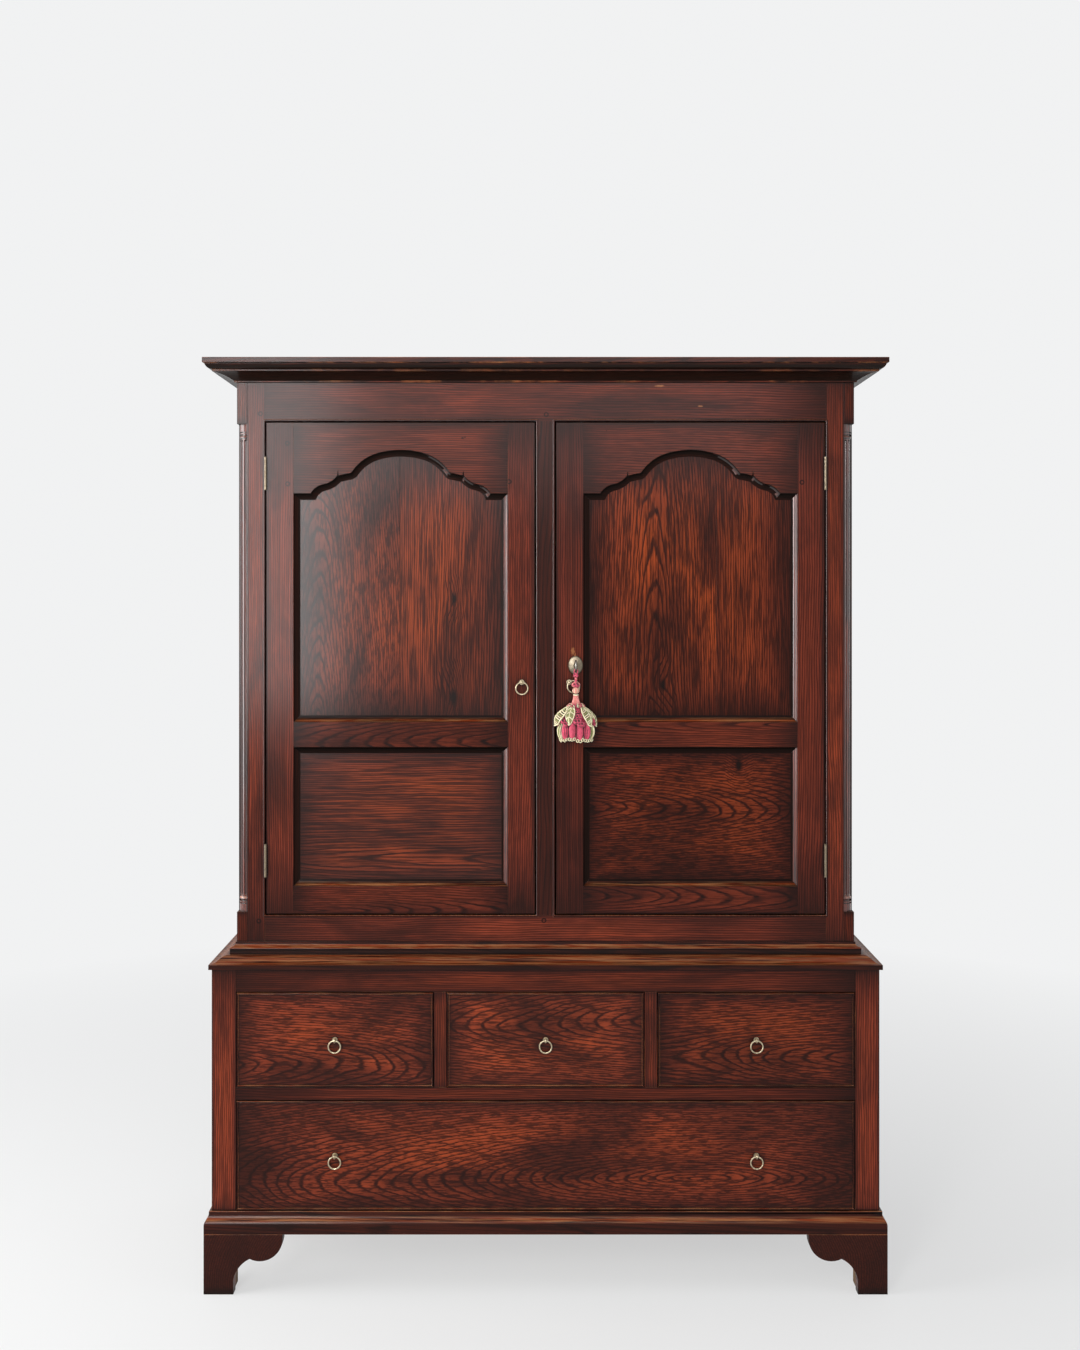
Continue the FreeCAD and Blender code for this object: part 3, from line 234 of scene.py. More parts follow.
class Shading:
    """A material, or the world, whose nodes are added by short calls."""

    def __init__(self, name, world=False):
        self.owner = bpy.data.worlds.new(name) if world else bpy.data.materials.new(name)
        self.owner.use_nodes = True
        self.tree = self.owner.node_tree
        self.shader = self.tree.nodes["Background" if world else "Principled BSDF"]
        self.surface = self.tree.nodes["World Output" if world else "Material Output"].inputs["Surface"]

    def node(self, kind, inputs, output=0, **settings):
        made = self.tree.nodes.new("ShaderNode" + kind)
        for key, value in settings.items():
            setattr(made, key, value)
        for key, value in inputs.items():
            if isinstance(value, bpy.types.NodeSocket):
                self.tree.links.new(value, made.inputs[key])
            else:
                made.inputs[key].default_value = value
        return made.outputs[output]

    def attribute(self, name):
        return self.node("Attribute", {}, "Vector", attribute_name=name)

    def place(self):
        return self.node("TexCoord", {}, "Object")

    def math(self, operation, first, second=0.0, third=0.0, clamp=False):
        return self.node("Math", {0: first, 1: second, 2: third}, operation=operation, use_clamp=clamp)

    def vector(self, operation, first, second=(0, 0, 0), output=0):
        return self.node("VectorMath", {0: first, 1: second}, output, operation=operation)

    def stretch(self, vector, amounts):
        return self.vector("MULTIPLY", vector, amounts)

    def length(self, vector):
        return self.vector("LENGTH", vector, output=1)

    def noise(self, vector, scale, detail=3.0, roughness=0.55, distortion=0.0):
        inputs = {"Vector": vector, "Scale": scale, "Detail": detail, "Roughness": roughness}
        return self.node("TexNoise", inputs | {"Distortion": distortion})

    def streaks(self, vector, waves, detail=3.0, roughness=0.55, distortion=0.0):
        """Noise with its own number of waves to a metre along each axis."""
        return self.noise(self.stretch(vector, waves), 1.0, detail, roughness, distortion)

    def times(self, first, second, clamp=False):
        return self.math("MULTIPLY", first, second, clamp=clamp)

    def most(self, first, second):
        return self.math("MAXIMUM", first, second)

    def part(self, vector, index):
        return self.node("SeparateXYZ", {0: vector}, index)

    def scaled(self, color, amount):
        grey = self.node("CombineXYZ", {0: amount, 1: amount, 2: amount})
        return self.mix(1.0, color, grey, "MULTIPLY")

    def openness(self, reach):
        """1 where nothing is nearer than this reach, and 0 deep in a corner."""
        return self.node("AmbientOcclusion", {"Distance": reach}, 1, samples=6)

    def ramp(self, factor, *stops):
        """A grey that follows the stops, each a place from 0 to 1 and a value."""
        made = self.tree.nodes.new("ShaderNodeValToRGB")
        self.tree.links.new(factor, made.inputs[0])
        marks = made.color_ramp.elements
        while len(marks) < len(stops):
            marks.new(0.5)
        for mark, (position, value) in zip(marks, stops):
            mark.position = position
            mark.color = (value, value, value, 1)
        return made.outputs[0]

    def mix(self, factor, first, second, blend="MIX"):
        inputs = {0: factor}
        for slot, value in ((6, first), (7, second)):
            inputs[slot] = (*value, 1) if hasattr(value, "__len__") else value
        return self.node("Mix", inputs, 2, data_type="RGBA", blend_type=blend, clamp_factor=True)

    def between(self, value, low, high, start=0.0, end=1.0):
        return self.node("MapRange", {0: value, 1: low, 2: high, 3: start, 4: end}, clamp=True)

    def lay(self, color, tone, value, none, full, amount=1.0):
        """The colour with a tone over it, from nothing at one value to this amount at another."""
        return self.mix(self.between(value, none, full, 0.0, amount), color, tone)

    def bump(self, height, strength, distance):
        return self.node("Bump", {"Strength": strength, "Distance": distance, "Height": height})

    def finish(self, color, roughness, normal=None, **others):
        """Sets the shader's sockets, each to a value or to another node's socket."""
        others |= {"base_color": color, "roughness": roughness, "normal": normal}
        for key, value in others.items():
            socket = self.shader.inputs[key.replace("_", " ").title().replace("Ior", "IOR")]
            if isinstance(value, bpy.types.NodeSocket):
                self.tree.links.new(value, socket)
            elif value is not None:
                socket.default_value = value
        return self.owner

    def cover(self, amount, other):
        """Shows another shader over this one, by this amount."""
        shown = self.node("MixShader", {0: amount, 1: self.shader.outputs[0], 2: other})
        self.tree.links.new(shown, self.surface)


# ---------------------------------------------------------------- oak

GRAIN, PLACE, FINISH = "grain", "place", "finish"
# Finishes of broad faces: side panels, mouldings and drawers, then the cases' frames, the doors' frames
# and the left and the right door's panels.
WAXED, CASED, FRAMED = "waxed_oak", "waxed_case", "framed_oak"
KNOTTED, SHADED = "knotted_oak", "shaded_panel"
# Finishes of round pieces and of flanks that face the window, painted lighter there, of stuck mouldings and of
# worn edges, and the bare oak inside.
POLISHED_AND_LIT, STUCK, RUBBED, EDGED = "polished_and_lit_oak", "stuck_moulding", "rubbed_arris", "bright_edge"
DRY = "dry_oak"

# How much wax stands on the surface. The other oak has a thin coat.
COATS = {KNOTTED: 0.36, SHADED: 0.14, POLISHED_AND_LIT: 0.85, STUCK: 0.03, EDGED: 0.5}
THIN_COAT = 0.2
# How far the wax is rubbed away, from 0 to 1.
RUBBING = {RUBBED: 0.35, EDGED: 1.0}

# Colours that lie over the oak's own.
RED_OAK = (0.17, 0.027, 0.016)
KNOT = (0.008, 0.004, 0.003)
# Old wax and painted shade on the flanks of the doors' frames and stuck mouldings.
FLANK_WAX_AND_SHADE = (0.012, 0.006, 0.0045)
# Painted shade on faces that look down.
UNDERSIDE_SHADE = (0.006, 0.004, 0.003)
# Dirt and painted shade in corners.
SOOT_AND_SHADE = (0.005, 0.0035, 0.003)
DENT = (0.005, 0.003, 0.0025)
CRACK = (0.004, 0.003, 0.0025)
WATER_STAIN = (0.11, 0.07, 0.045)
# Dust and painted shade in the corners of the inner boards.
INNER_DUST_AND_SHADE = (0.05, 0.036, 0.026)

# Where knots show on the doors: across, height and size.
KNOTS = [(-0.194, 1.452, 0.008), (-0.196, 1.243, 0.012), (0.25, 1.269, 0.009), (0.412, 1.098, 0.009)]


def mark_board(board, seed, pith, patina, whole):
    """Writes the board's own coordinates to its mesh, for its figure and its patina.

    grain runs along the board, across it and into it, in metres, from the tree's pith.
    pith is how far the pith lies to the side and below the face, and how much it slopes.
    place runs from -1 to 1 between the ends, sides and faces of the whole panel.
    patina is the board's brightness, its clearing in the middle and its redness.
    """
    chance = random.Random(seed)
    low, high = box_of(board)
    size = high - low
    middle = (low + high) / 2
    order = sorted(range(3), key=lambda axis: -size[axis])
    side, depth, slope = pith
    start = chance.uniform(0, 40)
    whole_middle = (whole[0] + whole[1]) / 2
    whole_half = (whole[1] - whole[0]) / 2
    grain = []
    place = []
    for vertex in board.data.vertices:
        offset = [vertex.co[axis] - middle[axis] for axis in order]
        grain += [offset[0] + start, offset[1] + side, offset[2] + depth + slope * offset[0]]
        place += [(vertex.co[axis] - whole_middle[axis]) / max(whole_half[axis], WELD) for axis in order]
    count = len(board.data.vertices)
    for name, values in ((GRAIN, grain), (PLACE, place), (FINISH, list(patina) * count)):
        board.data.attributes.new(name, "FLOAT_VECTOR", "POINT").data.foreach_set("vector", values)


def eased(board, width):
    """Rounds the board's arrises, within its own box. The rounded faces take the second material."""
    low, high = box_of(board)
    angle = {"limit_method": "ANGLE", "angle_limit": math.radians(38)}
    apply_modifier(board, "BEVEL", width=width, segments=2, material=1, use_clamp_overlap=True, **angle)
    for vertex in board.data.vertices:
        vertex.co = [min(max(vertex.co[axis], low[axis]), high[axis]) for axis in range(3)]
    return smooth(board)


def sawn(board, across):
    """Two boards, where a panel is glued up from two: cut at this place across it."""
    other = board.copy()
    other.data = board.data.copy()
    bpy.context.scene.collection.objects.link(other)
    cuts = {"plane_co": (across, 0, 0), "plane_no": (1, 0, 0), "use_fill": True}
    in_edit_mode(board, lambda: bpy.ops.mesh.bisect(**cuts, clear_outer=True))
    in_edit_mode(other, lambda: bpy.ops.mesh.bisect(**cuts, clear_inner=True))
    return [board, other]


def rift(chance):
    """A board sawn well to the side of the pith, so that its lines run straight."""
    side = chance.choice((-1, 1)) * chance.uniform(0.09, 0.2)
    return side, chance.uniform(0.03, 0.07), chance.uniform(-0.05, 0.05)


def plain_sawn(chance):
    """A board sawn across the top of the rings, with arched figure."""
    lean = chance.choice((-1, 1)) * chance.uniform(0.04, 0.1)
    return chance.uniform(-0.04, 0.04), chance.uniform(0.015, 0.05), lean


def steep(chance):
    """A board from a leaning tree, with its rings in bold slanting lines."""
    side = chance.choice((-1, 1)) * chance.uniform(0.03, 0.06)
    return side, chance.uniform(0.05, 0.08), chance.choice((-1, 1)) * chance.uniform(0.1, 0.16)


# A strip thinner than this is a bead, which is rubbed all over and painted this much brighter: wear, and a painted
# highlight along the bead.
BEAD = 0.012
BEAD_WEAR_AND_HIGHLIGHT = 1.7
# How far the boards of one node differ: in brightness, and either way in redness.
BOARD_BRIGHT = (0.84, 1.12)
BOARD_RED = 0.12


def oak_piece(node, materials, patina, arris, pith=plain_sawn, joint=None, slot="polished_oak"):
    """Stands in for a node of oak boards, with a figure of its own on every board.

    pith is a way to saw, or one place of the pith for each board. joint is where a tall panel is glued.
    """
    boards = []
    for board in loose_parts(copy_of_node(node, "oak_" + node)):
        whole = box_of(board)
        tall = whole[1].z - whole[0].z > whole[1].x - whole[0].x
        parts = sawn(board, joint) if joint and tall else [board]
        boards += [(part, whole) for part in parts]
    for index, (board, whole) in enumerate(boards):
        chance = random.Random(f"{node} {index}")
        spot = pith(chance) if callable(pith) else pith[index]
        bright, clear, red = patina
        # A bead is painted lighter, for its wear and as a painted highlight.
        if sorted(whole[1] - whole[0])[1] < BEAD:
            bright, clear = bright * BEAD_WEAR_AND_HIGHLIGHT, 1.0
        tone = (bright * chance.uniform(*BOARD_BRIGHT), clear, red + chance.uniform(-BOARD_RED, BOARD_RED))
        board.data.materials.clear()
        for material in materials:
            board.data.materials.append(material)
        eased(board, arris)
        mark_board(board, f"{node} board {index}", spot, tone, whole)
    piece = joined("oak_" + node, [board for board, _ in boards])
    return stand_in(piece, node, slot=slot)


def away_from(paint, across, height, wide=1.0, tall=1.0):
    """How far off a place on the front is, in metres or in a mark's half width and half height."""
    away = paint.vector("SUBTRACT", paint.place(), (across, 0, height))
    return paint.length(paint.stretch(away, (1 / wide, 0, 1 / tall)))


def knotty(paint, radius):
    """The rings' radius with the bulges that knots push into it, and the knots' own darkness."""
    dark = 0.0
    for across, height, size in KNOTS:
        reach = away_from(paint, across, height, tall=2.0)
        radius = paint.math("ADD", radius, paint.between(reach, 0, size * 3.5, size * 1.6, 0))
        dark = paint.most(dark, paint.between(reach, size * 0.35, size * 1.1, 0.95, 0))
    return radius, dark


# Marks on the front, each with its place across, its height, its half width and its half height.
RUBS = [(0.058, 1.341, 0.004, 0.008), (0.063, 1.331, 0.002, 0.006), (0.243, 1.905, 0.01, 0.002)]
RUBS += [(0.329, 1.862, 0.006, 0.0015)]
DENTS = [(-0.1765, 1.7945, 0.003, 0.0015), (-0.171, 1.796, 0.002, 0.0012), (0.13, 1.81, 0.0016, 0.0012)]
CRACKS = [(-0.3104, 1.231, 0.0006, 0.028)]
PEG_RADIUS = 0.004
# The ends of the pegs on the front, each with its place across and its height.
PEGS = [(-0.6063, 1.8459), (-0.6093, 0.7673), (0.0015, 1.8442), (-0.0034, 0.7684)]
PEGS += [(-0.5489, 1.7831), (-0.5481, 1.6968), (-0.0774, 1.7015), (0.5453, 1.7002)]


def spots(paint, marks):
    """Ragged spots of a few millimetres."""
    ragged = paint.streaks(paint.place(), (300, 300, 300), 3.0, 0.7)
    shown = 0.0
    for mark in marks:
        reach = paint.math("MULTIPLY_ADD", ragged, 1.6, away_from(paint, *mark))
        shown = paint.most(shown, paint.between(reach, 1.4, 2.0, 1.0, 0.0))
    return shown


def peg_lines(paint):
    """Dark lines round the ends of the pegs that hold the joints."""
    shown = 0.0
    for peg in PEGS:
        off = paint.math("ABSOLUTE", paint.math("SUBTRACT", away_from(paint, *peg), PEG_RADIUS))
        shown = paint.most(shown, paint.between(off, 0.0008, 0.0019, 0.9, 0.0))
    return shown


def oak_figure(paint, pitch, bulges=False):
    """The figure of oak: (year rings, pore streaks, broad clouds, knots), each from 0 to 1."""
    grain = paint.attribute(GRAIN)
    sway = paint.streaks(grain, (2.4, 8, 8), 2.0)
    ripple = paint.streaks(grain, (10, 48, 48))
    fine = paint.streaks(grain, (6, 430, 430), 2.0, 0.6)
    coarse = paint.streaks(grain, (1.7, 240, 240))
    radius = paint.length(paint.stretch(grain, (0, 1, 1)))
    dark = 0.0
    if bulges:
        radius, dark = knotty(paint, radius)
    for noise, amount in ((sway, 0.024), (ripple, 0.004), (fine, 0.001)):
        radius = paint.math("MULTIPLY_ADD", noise, amount, radius)
    season = paint.math("FRACT", paint.math("DIVIDE", radius, pitch))
    rings = paint.ramp(season, (0.0, 0.0), (0.13, 0.0), (0.27, 0.8), (0.88, 1.0), (1.0, 0.0))
    streaked = paint.math("MULTIPLY_ADD", fine, 0.35, paint.times(coarse, 0.65))
    clouds = paint.streaks(grain, (3.2, 9, 9), 4.0, 0.6, 0.4)
    return rings, paint.between(streaked, 0.44, 0.54), clouds, dark


class WaxedOak(Shading):
    """Old oak under many coats of wax. Most steps lay something over the colour that they are given."""

    def __init__(self, name, oak):
        super().__init__(name)
        self.name = name
        self.body, self.deep, self.glow, self.worn = map(tuple, (oak.body, oak.deep, oak.glow, oak.worn))
        figure = oak_figure(self, oak.ring_pitch, name in (KNOTTED, SHADED))
        self.rings, self.pores, self.clouds, self.knots = figure
        finish = self.attribute(FINISH)
        self.bright, self.clearing, self.redness = (self.part(finish, index) for index in range(3))
        place = self.vector("ABSOLUTE", self.attribute(PLACE))
        along, across, self.depth = (self.part(place, index) for index in range(3))
        # From the middle of the board to its ends and sides, where it passes 1 unevenly.
        self.outward = self.math("MULTIPLY_ADD", self.clouds, 0.5, self.most(along, across))

    def wood(self):
        """The oak's own colour, cleared in the middle of a panel and redder on some boards."""
        middle = self.between(self.outward, 0.7, 1.18, 1.0, 0.0)
        blotch = self.between(self.clouds, 0.36, 0.62, 0.15, 1.0)
        glowing = self.times(self.times(middle, blotch), self.clearing, clamp=True)
        return self.mix(self.redness, self.mix(glowing, self.body, self.glow), RED_OAK)

    def figured(self, color):
        """Smoky clouds, year rings, pores and knots."""
        smoky = self.lay(color, self.deep, self.clouds, 0.56, 0.34, 0.7)
        line = self.times(self.between(self.rings, 1.0, 0.0), self.between(self.pores, 1.0, 0.0, 0.95, 0.55))
        ringed = self.mix(line, smoky, self.deep)
        depth = 0.52 if self.name in (FRAMED, CASED) else 0.78
        pored = self.lay(ringed, self.deep, self.pores, 1.0, 0.0, depth)
        return self.mix(self.knots, pored, KNOT)

    def rimmed(self, color):
        """Old wax along the ends and sides, and old wax with painted shade on the flanks of the doors' frames."""
        amount = 0.2 if self.name == POLISHED_AND_LIT else 0.85
        color = self.lay(color, self.deep, self.outward, 1.0, 1.28, amount)
        if self.name in (FRAMED, STUCK):
            # Painted shade, with old wax, on the flanks behind the frame's face.
            color = self.lay(color, FLANK_WAX_AND_SHADE, self.depth, 0.985, 0.9, 0.9)
        return color

    def lit_tops_and_shaded_undersides(self, color):
        """Faces that look up are worn and dusty, and painted lighter as if lit from above. Those that look down
        are painted shade.
        """
        upward = self.part(self.node("NewGeometry", {}, "True Normal"), 2)
        # Painted light, with streaky wear, on faces that look up.
        wear = self.streaks(self.place(), (7, 190, 260), 4.0, 0.6)
        amount = 0.9 if self.name in (FRAMED, STUCK) else 0.6
        dust_and_painted_light = self.times(self.between(upward, 0.25, 0.6, 0, amount), self.between(wear, 0.36, 0.56))
        top_lit_and_worn = self.mix(dust_and_painted_light, color, self.mix(self.pores, self.glow, self.worn))
        # Painted shade on faces that look down, less of it where the oak is cleared.
        under = self.between(upward, -0.1, -0.5, 0, 0.93)
        return self.mix(self.times(under, self.between(self.clearing, 0.5, 0.9, 1, 0)), top_lit_and_worn, UNDERSIDE_SHADE)

    def sooted_and_shaded(self, color):
        """Dirt and painted shade in the corners, less of both where a piece is polished."""
        reach, amount = (0.006, 0.6) if self.name in (POLISHED_AND_LIT, EDGED) else (0.024, 0.95)
        # Painted shade, with dirt, by how closed in each point is.
        return self.lay(color, SOOT_AND_SHADE, self.openness(reach), 0.94, 0.55, amount)

    def marked(self, color):
        """Bare rubs, dents, pegs and a crack."""
        if self.name in (WAXED, FRAMED, CASED):
            color = self.mix(self.times(spots(self, RUBS), 0.55), color, self.worn)
            color = self.mix(self.most(spots(self, DENTS), peg_lines(self)), color, DENT)
        if self.name in (KNOTTED, SHADED):
            color = self.mix(spots(self, CRACKS), color, CRACK)
        return color

    def rubbed(self, color):
        """Bare wood where the wax is rubbed away."""
        if self.name not in RUBBING:
            return color
        amount = RUBBING[self.name]
        rub = self.streaks(self.place(), (9, 9, 9), 5.0, 0.7)
        bare = self.between(rub, 0.56 - amount * 0.17, 0.7 - amount * 0.12)
        edge = self.mix(self.pores, self.mix(0.45, self.glow, self.worn), self.worn)
        return self.mix(self.times(bare, 0.25 + amount * 0.6), color, edge)

    def coated(self, color):
        """The material, with its gloss, its pores and its coat of wax."""
        smear = self.streaks(self.place(), (5, 5, 5), 4.0, 0.6)
        smooth_wax = self.between(smear, 0.3, 0.7, 0.3, 0.42)
        roughness = self.math("ADD", smooth_wax, self.between(self.pores, 1, 0, 0, 0.12))
        relief = self.math("MULTIPLY_ADD", self.pores, 0.6, self.times(self.rings, 0.5))
        normal = self.bump(self.math("MULTIPLY_ADD", smear, 1.2, relief), 0.45, 0.0004)
        coat = {"coat_weight": COATS.get(self.name, THIN_COAT), "coat_roughness": 0.17}
        gloss = 0.3 if self.name == POLISHED_AND_LIT else 0.02
        return self.finish(color, roughness, normal, specular_ior_level=gloss, **coat)


def waxed_oak(name, oak):
    """Dark in its pores and corners, clear in the middle and rubbed bright on its edges."""
    paint = WaxedOak(name, oak)
    color = paint.wood()
    for step in (paint.figured, paint.rimmed, paint.lit_tops_and_shaded_undersides, paint.sooted_and_shaded, paint.marked, paint.rubbed):
        color = step(color)
    return paint.coated(paint.scaled(color, paint.bright))


def dry_oak(name, oak):
    """Unpolished oak of the inner boards, grey-brown with age, with dust and painted shade in its corners."""
    paint = Shading(name)
    rings, pores, clouds, _ = oak_figure(paint, oak.ring_pitch)
    light = tuple(oak.inner)
    dark = tuple(tone * 0.36 for tone in light)
    ringed = paint.lay(light, dark, rings, 1.0, 0.0, 0.5)
    pored = paint.lay(ringed, dark, pores, 1.0, 0.0, 0.4)
    stained = paint.lay(pored, WATER_STAIN, clouds, 0.5, 0.75, 0.5)
    # Dust and painted shade in the corners.
    dust_and_painted_light = paint.lay(stained, INNER_DUST_AND_SHADE, paint.openness(0.03), 0.9, 0.3, 0.6)
    color = paint.scaled(dust_and_painted_light, paint.part(paint.attribute(FINISH), 0))
    relief = paint.math("ADD", pores, rings)
    return paint.finish(color, 0.74, paint.bump(relief, 0.45, 0.0005), specular_ior_level=0.3)


# ---------------------------------------------------------------- metal

# Patches of tarnish to a metre, and the darkest tone in worn steel.
PATCHES = 210
PIT = (0.09, 0.075, 0.06)
# The keyhole's half width and half height, and how steep the key plate's dome is at its rim. The keyhole is
# painted dark, as painted shade in the hole.
KEYHOLE = (0.0035, 0.009)
DOME_SLOPE = 0.35


def aged_brass(name, metal, greyed=0.0):
    """Brass with bright rubbed spots and brown tarnish in between. greyed runs from 0 to 1."""
    paint = Shading(name)
    place = paint.place()
    patches = paint.noise(place, PATCHES, 4.0, 0.6)
    specks = paint.noise(place, 1300, 3.0, 0.6)
    grime = paint.between(paint.openness(0.003), 0.9, 0.4, 0, 0.6)
    dull = paint.math("ADD", paint.between(patches, 0.38, 0.62, 0.0, 0.7), grime)
    rubbed = tuple(bright * (1 - greyed) + grey * greyed for bright, grey in zip(metal.brass, metal.plate))
    color = paint.mix(dull, rubbed, tuple(metal.tarnish))
    roughness = paint.between(patches, 0.3, 0.7, 0.26, 0.52)
    return paint.finish(color, roughness, paint.bump(specks, 0.25, 0.0001), metallic=1.0)


def key_plate(name, metal):
    """The domed plate round the keyhole: greyed brass with a dark rim, and a keyhole painted dark as painted
    shade.
    """
    paint = Shading(name)
    low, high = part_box("escutcheon")
    middle = (low + high) / 2
    half = (high - low) / 2
    reach = away_from(paint, middle.x, middle.z, half.x, half.z)
    patches = paint.noise(paint.place(), PATCHES, 4.0, 0.6)
    dull = paint.most(paint.between(patches, 0.45, 0.7, 0.0, 0.6), paint.between(reach, 0.84, 0.97, 0, 0.9))
    # Painted shade: the keyhole is a dark slot painted on the plate.
    keyhole = paint.between(away_from(paint, middle.x, middle.z, *KEYHOLE), 0.8, 1.2, 1.0, 0.0)
    dark = tuple(tone * 0.3 for tone in metal.tarnish)
    color = paint.mix(paint.most(dull, keyhole), tuple(metal.plate), dark)
    dome = paint.times(paint.times(reach, reach), -DOME_SLOPE * half.x / 2)
    uneven = paint.math("MULTIPLY_ADD", patches, 0.0002, dome)
    return paint.finish(color, 0.36, paint.bump(uneven, 1.0, 1.0), metallic=1.0)


def worn_steel(name, metal, light=1.0):
    """Steel polished by hands, with darker pits."""
    paint = Shading(name)
    pits = paint.noise(paint.place(), 620, 4.0, 0.65)
    bare = tuple(tone * light for tone in metal.steel)
    color = paint.lay(bare, PIT, pits, 0.45, 0.7)
    roughness = paint.between(pits, 0.3, 0.7, 0.24, 0.5)
    return paint.finish(color, roughness, paint.bump(pits, 0.3, 0.00012), metallic=1.0)


# ---------------------------------------------------------------- tassel

# The last, crimson, is dark yarn laid as painted shade in gaps and knots.
ROSE, SALMON, CREAM, GREEN, CRIMSON_SHADE = range(5)

# Heights below the key's bow.
KNOT_DROPS = (0.009, 0.0295)
TWIST_DROPS = (0.012, 0.04)
BALL_DROP = 0.0415
WAIST_TOP, WAIST_FOOT = 0.0522, 0.0712
CORE_TOP = 0.072
PETAL_TOP = 0.074
SKIRT_TOP, SKIRT_FOOT = 0.107, 0.14
# Radii, and the yarns' thickness.
KNOT_RADII = (0.0044, 0.0078)
TWIST_RADIUS = 0.0015
BALL_RADIUS = 0.0062
CORE_RADIUS, CORE_GAP = 0.025, 0.004
THICK_YARN, RIB_YARN, BALL_YARN, TUFT_YARN = 0.003, 0.0028, 0.0026, 0.0023
HEM_YARN, VEIN_YARN, COLLAR_YARN = 0.0021, 0.002, 0.0017
# The bands under the ball: drop, radius and dye.
BANDS = [(0.0505, 0.0048, CREAM), (0.0525, 0.0046, SALMON)]
# The waist's radius at each part of its height, from the top, and the ridges that its threads make.
WAIST_ROWS = [(0.0, 0.0052), (0.25, 0.0056), (0.55, 0.0072), (0.8, 0.0088), (1.0, 0.0106)]
RIDGES, RIDGE_DEPTH = 36, 0.035
# How deep the petals and the skirt are for their width.
PETAL_OVAL, SKIRT_OVAL = 0.62, 0.6
# The skirt's reach from the middle line, how far it flares, and each puff's half width and bulge.
SKIRT_REACH, SKIRT_FLARE = 0.024, 0.004
PUFF_ANGLE, PUFF_BULGE = 0.24, 0.0135


def yarn_dye(name, tone, satin=False):
    """Spun yarn: fine plied ridges, a soft fuzz, uneven dye and painted shade where yarns crowd together."""
    paint = Shading(name)
    place = paint.place()
    ply = paint.streaks(place, (1900, 1900, 1100), 2.0)
    dye = paint.noise(place, 160, 3.0)
    dark = tuple(channel * 0.58 for channel in tone)
    light = tuple(min(channel * 1.25 + 0.04, 1.0) for channel in tone)
    deep = tuple(channel * 0.06 for channel in tone)
    plied = paint.lay(dark, tuple(tone), ply, 0.35, 0.62)
    color = paint.lay(plied, light, dye, 0.42, 0.7, 0.6)
    # Painted shade where yarns crowd together.
    shaded = paint.lay(color, deep, paint.openness(0.007), 0.75, 0.28, 0.85)
    if satin:
        return paint.finish(shaded, 0.42, paint.bump(ply, 0.4, 0.0002), sheen_weight=0.3, sheen_roughness=0.3)
    return paint.finish(shaded, 0.8, paint.bump(ply, 0.8, 0.0004), sheen_weight=0.2, sheen_roughness=0.5)


def round_curve(name, thick, roundness, dyes):
    """An empty round curve with closed ends."""
    curve = bpy.data.curves.new(name, "CURVE")
    curve.dimensions = "3D"
    curve.bevel_depth = thick / 2
    curve.bevel_resolution = roundness
    curve.use_fill_caps = True
    for dye in dyes:
        curve.materials.append(dye)
    piece = bpy.data.objects.new(name, curve)
    bpy.context.scene.collection.objects.link(piece)
    return piece


def yarns(name, strands, dyes):
    """One mesh of yarns. A strand is its points, its thickness, its dye and whether it closes on itself."""
    piece = round_curve(name, 2 * MM, 1, dyes)
    for points, thick, dye, closed in strands:
        spline = piece.data.splines.new("POLY")
        spline.points.add(len(points) - 1)
        for spot, point in zip(spline.points, points):
            spot.co = (*point, 1)
            spot.radius = thick / 2 / MM
        spline.use_cyclic_u = closed
        spline.use_smooth = True
        spline.material_index = dye
    only(piece)
    bpy.ops.object.convert(target="MESH")
    return settle(bpy.context.active_object, name)


class Tassel:
    """The tassel's middle line and the oval that it is round, in metres."""

    def __init__(self):
        low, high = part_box("tassel")
        joint = next(joint for joint in frame["joints"] if joint["name"] == "tassel_swing")
        self.x, self.y, self.top = joint["pos_m"]
        self.low = low.z
        self.oval = (high.y - low.y) / (high.x - low.x)

    def at(self, angle, radius, drop, oval=None):
        """A point round the middle line; angle 0 is the front, and drop is below the key's bow."""
        flat = self.oval if oval is None else oval
        across = radius * math.sin(angle)
        forward = radius * math.cos(angle) * flat
        return Vector((self.x + across, self.y - forward, self.top - drop))


def ring_points(centre, radius, tilt, count=16):
    turn = Euler(tilt).to_matrix()
    steps = [math.tau * index / count for index in range(count)]
    return [centre + turn @ Vector((radius * math.cos(a), radius * math.sin(a), 0)) for a in steps]


def knot(centre, radius, thick, dyes, flat=1.0, shallow=1.0):
    """Yarn drawn into a knot: turns that cross each other at many angles."""
    tilts = [(0.3, 0.2, 0), (1.2, 0.4, 0.5), (1.0, -0.8, 1.1)]
    tilts += [(1.5, 0.1, 2.2), (0.2, 1.2, 0.4), (0.9, 0.9, 2.6)]
    strands = []
    for index, tilt in enumerate(tilts):
        points = pressed(ring_points(centre, radius, tilt), centre, shallow, flat)
        strands.append((points, thick, dyes[index % len(dyes)], True))
    return strands


def pressed(points, centre, shallow, flat=1.0):
    """The points drawn in towards a centre, in depth and in height."""
    away = [point - centre for point in points]
    return [centre + Vector((step.x, step.y * shallow, step.z * flat)) for step in away]


def twisted(start, end, radius, thick, dyes, turns, steps=40):
    """Yarns laid round each other between two points."""
    strands = []
    for index, dye in enumerate(dyes):
        points = []
        for step in range(steps + 1):
            part = step / steps
            angle = math.tau * (turns * part + index / len(dyes))
            middle = start.lerp(end, part)
            points.append(middle + Vector((radius * math.cos(angle), radius * math.sin(angle), 0)))
        strands.append((points, thick, dye, False))
    return strands


# The loop: its length, its thickness, its half width over the bow and how far it hangs.
CORD_THICK = 0.0022
CORD_REACH = 0.0034
CORD_DROP = 0.013


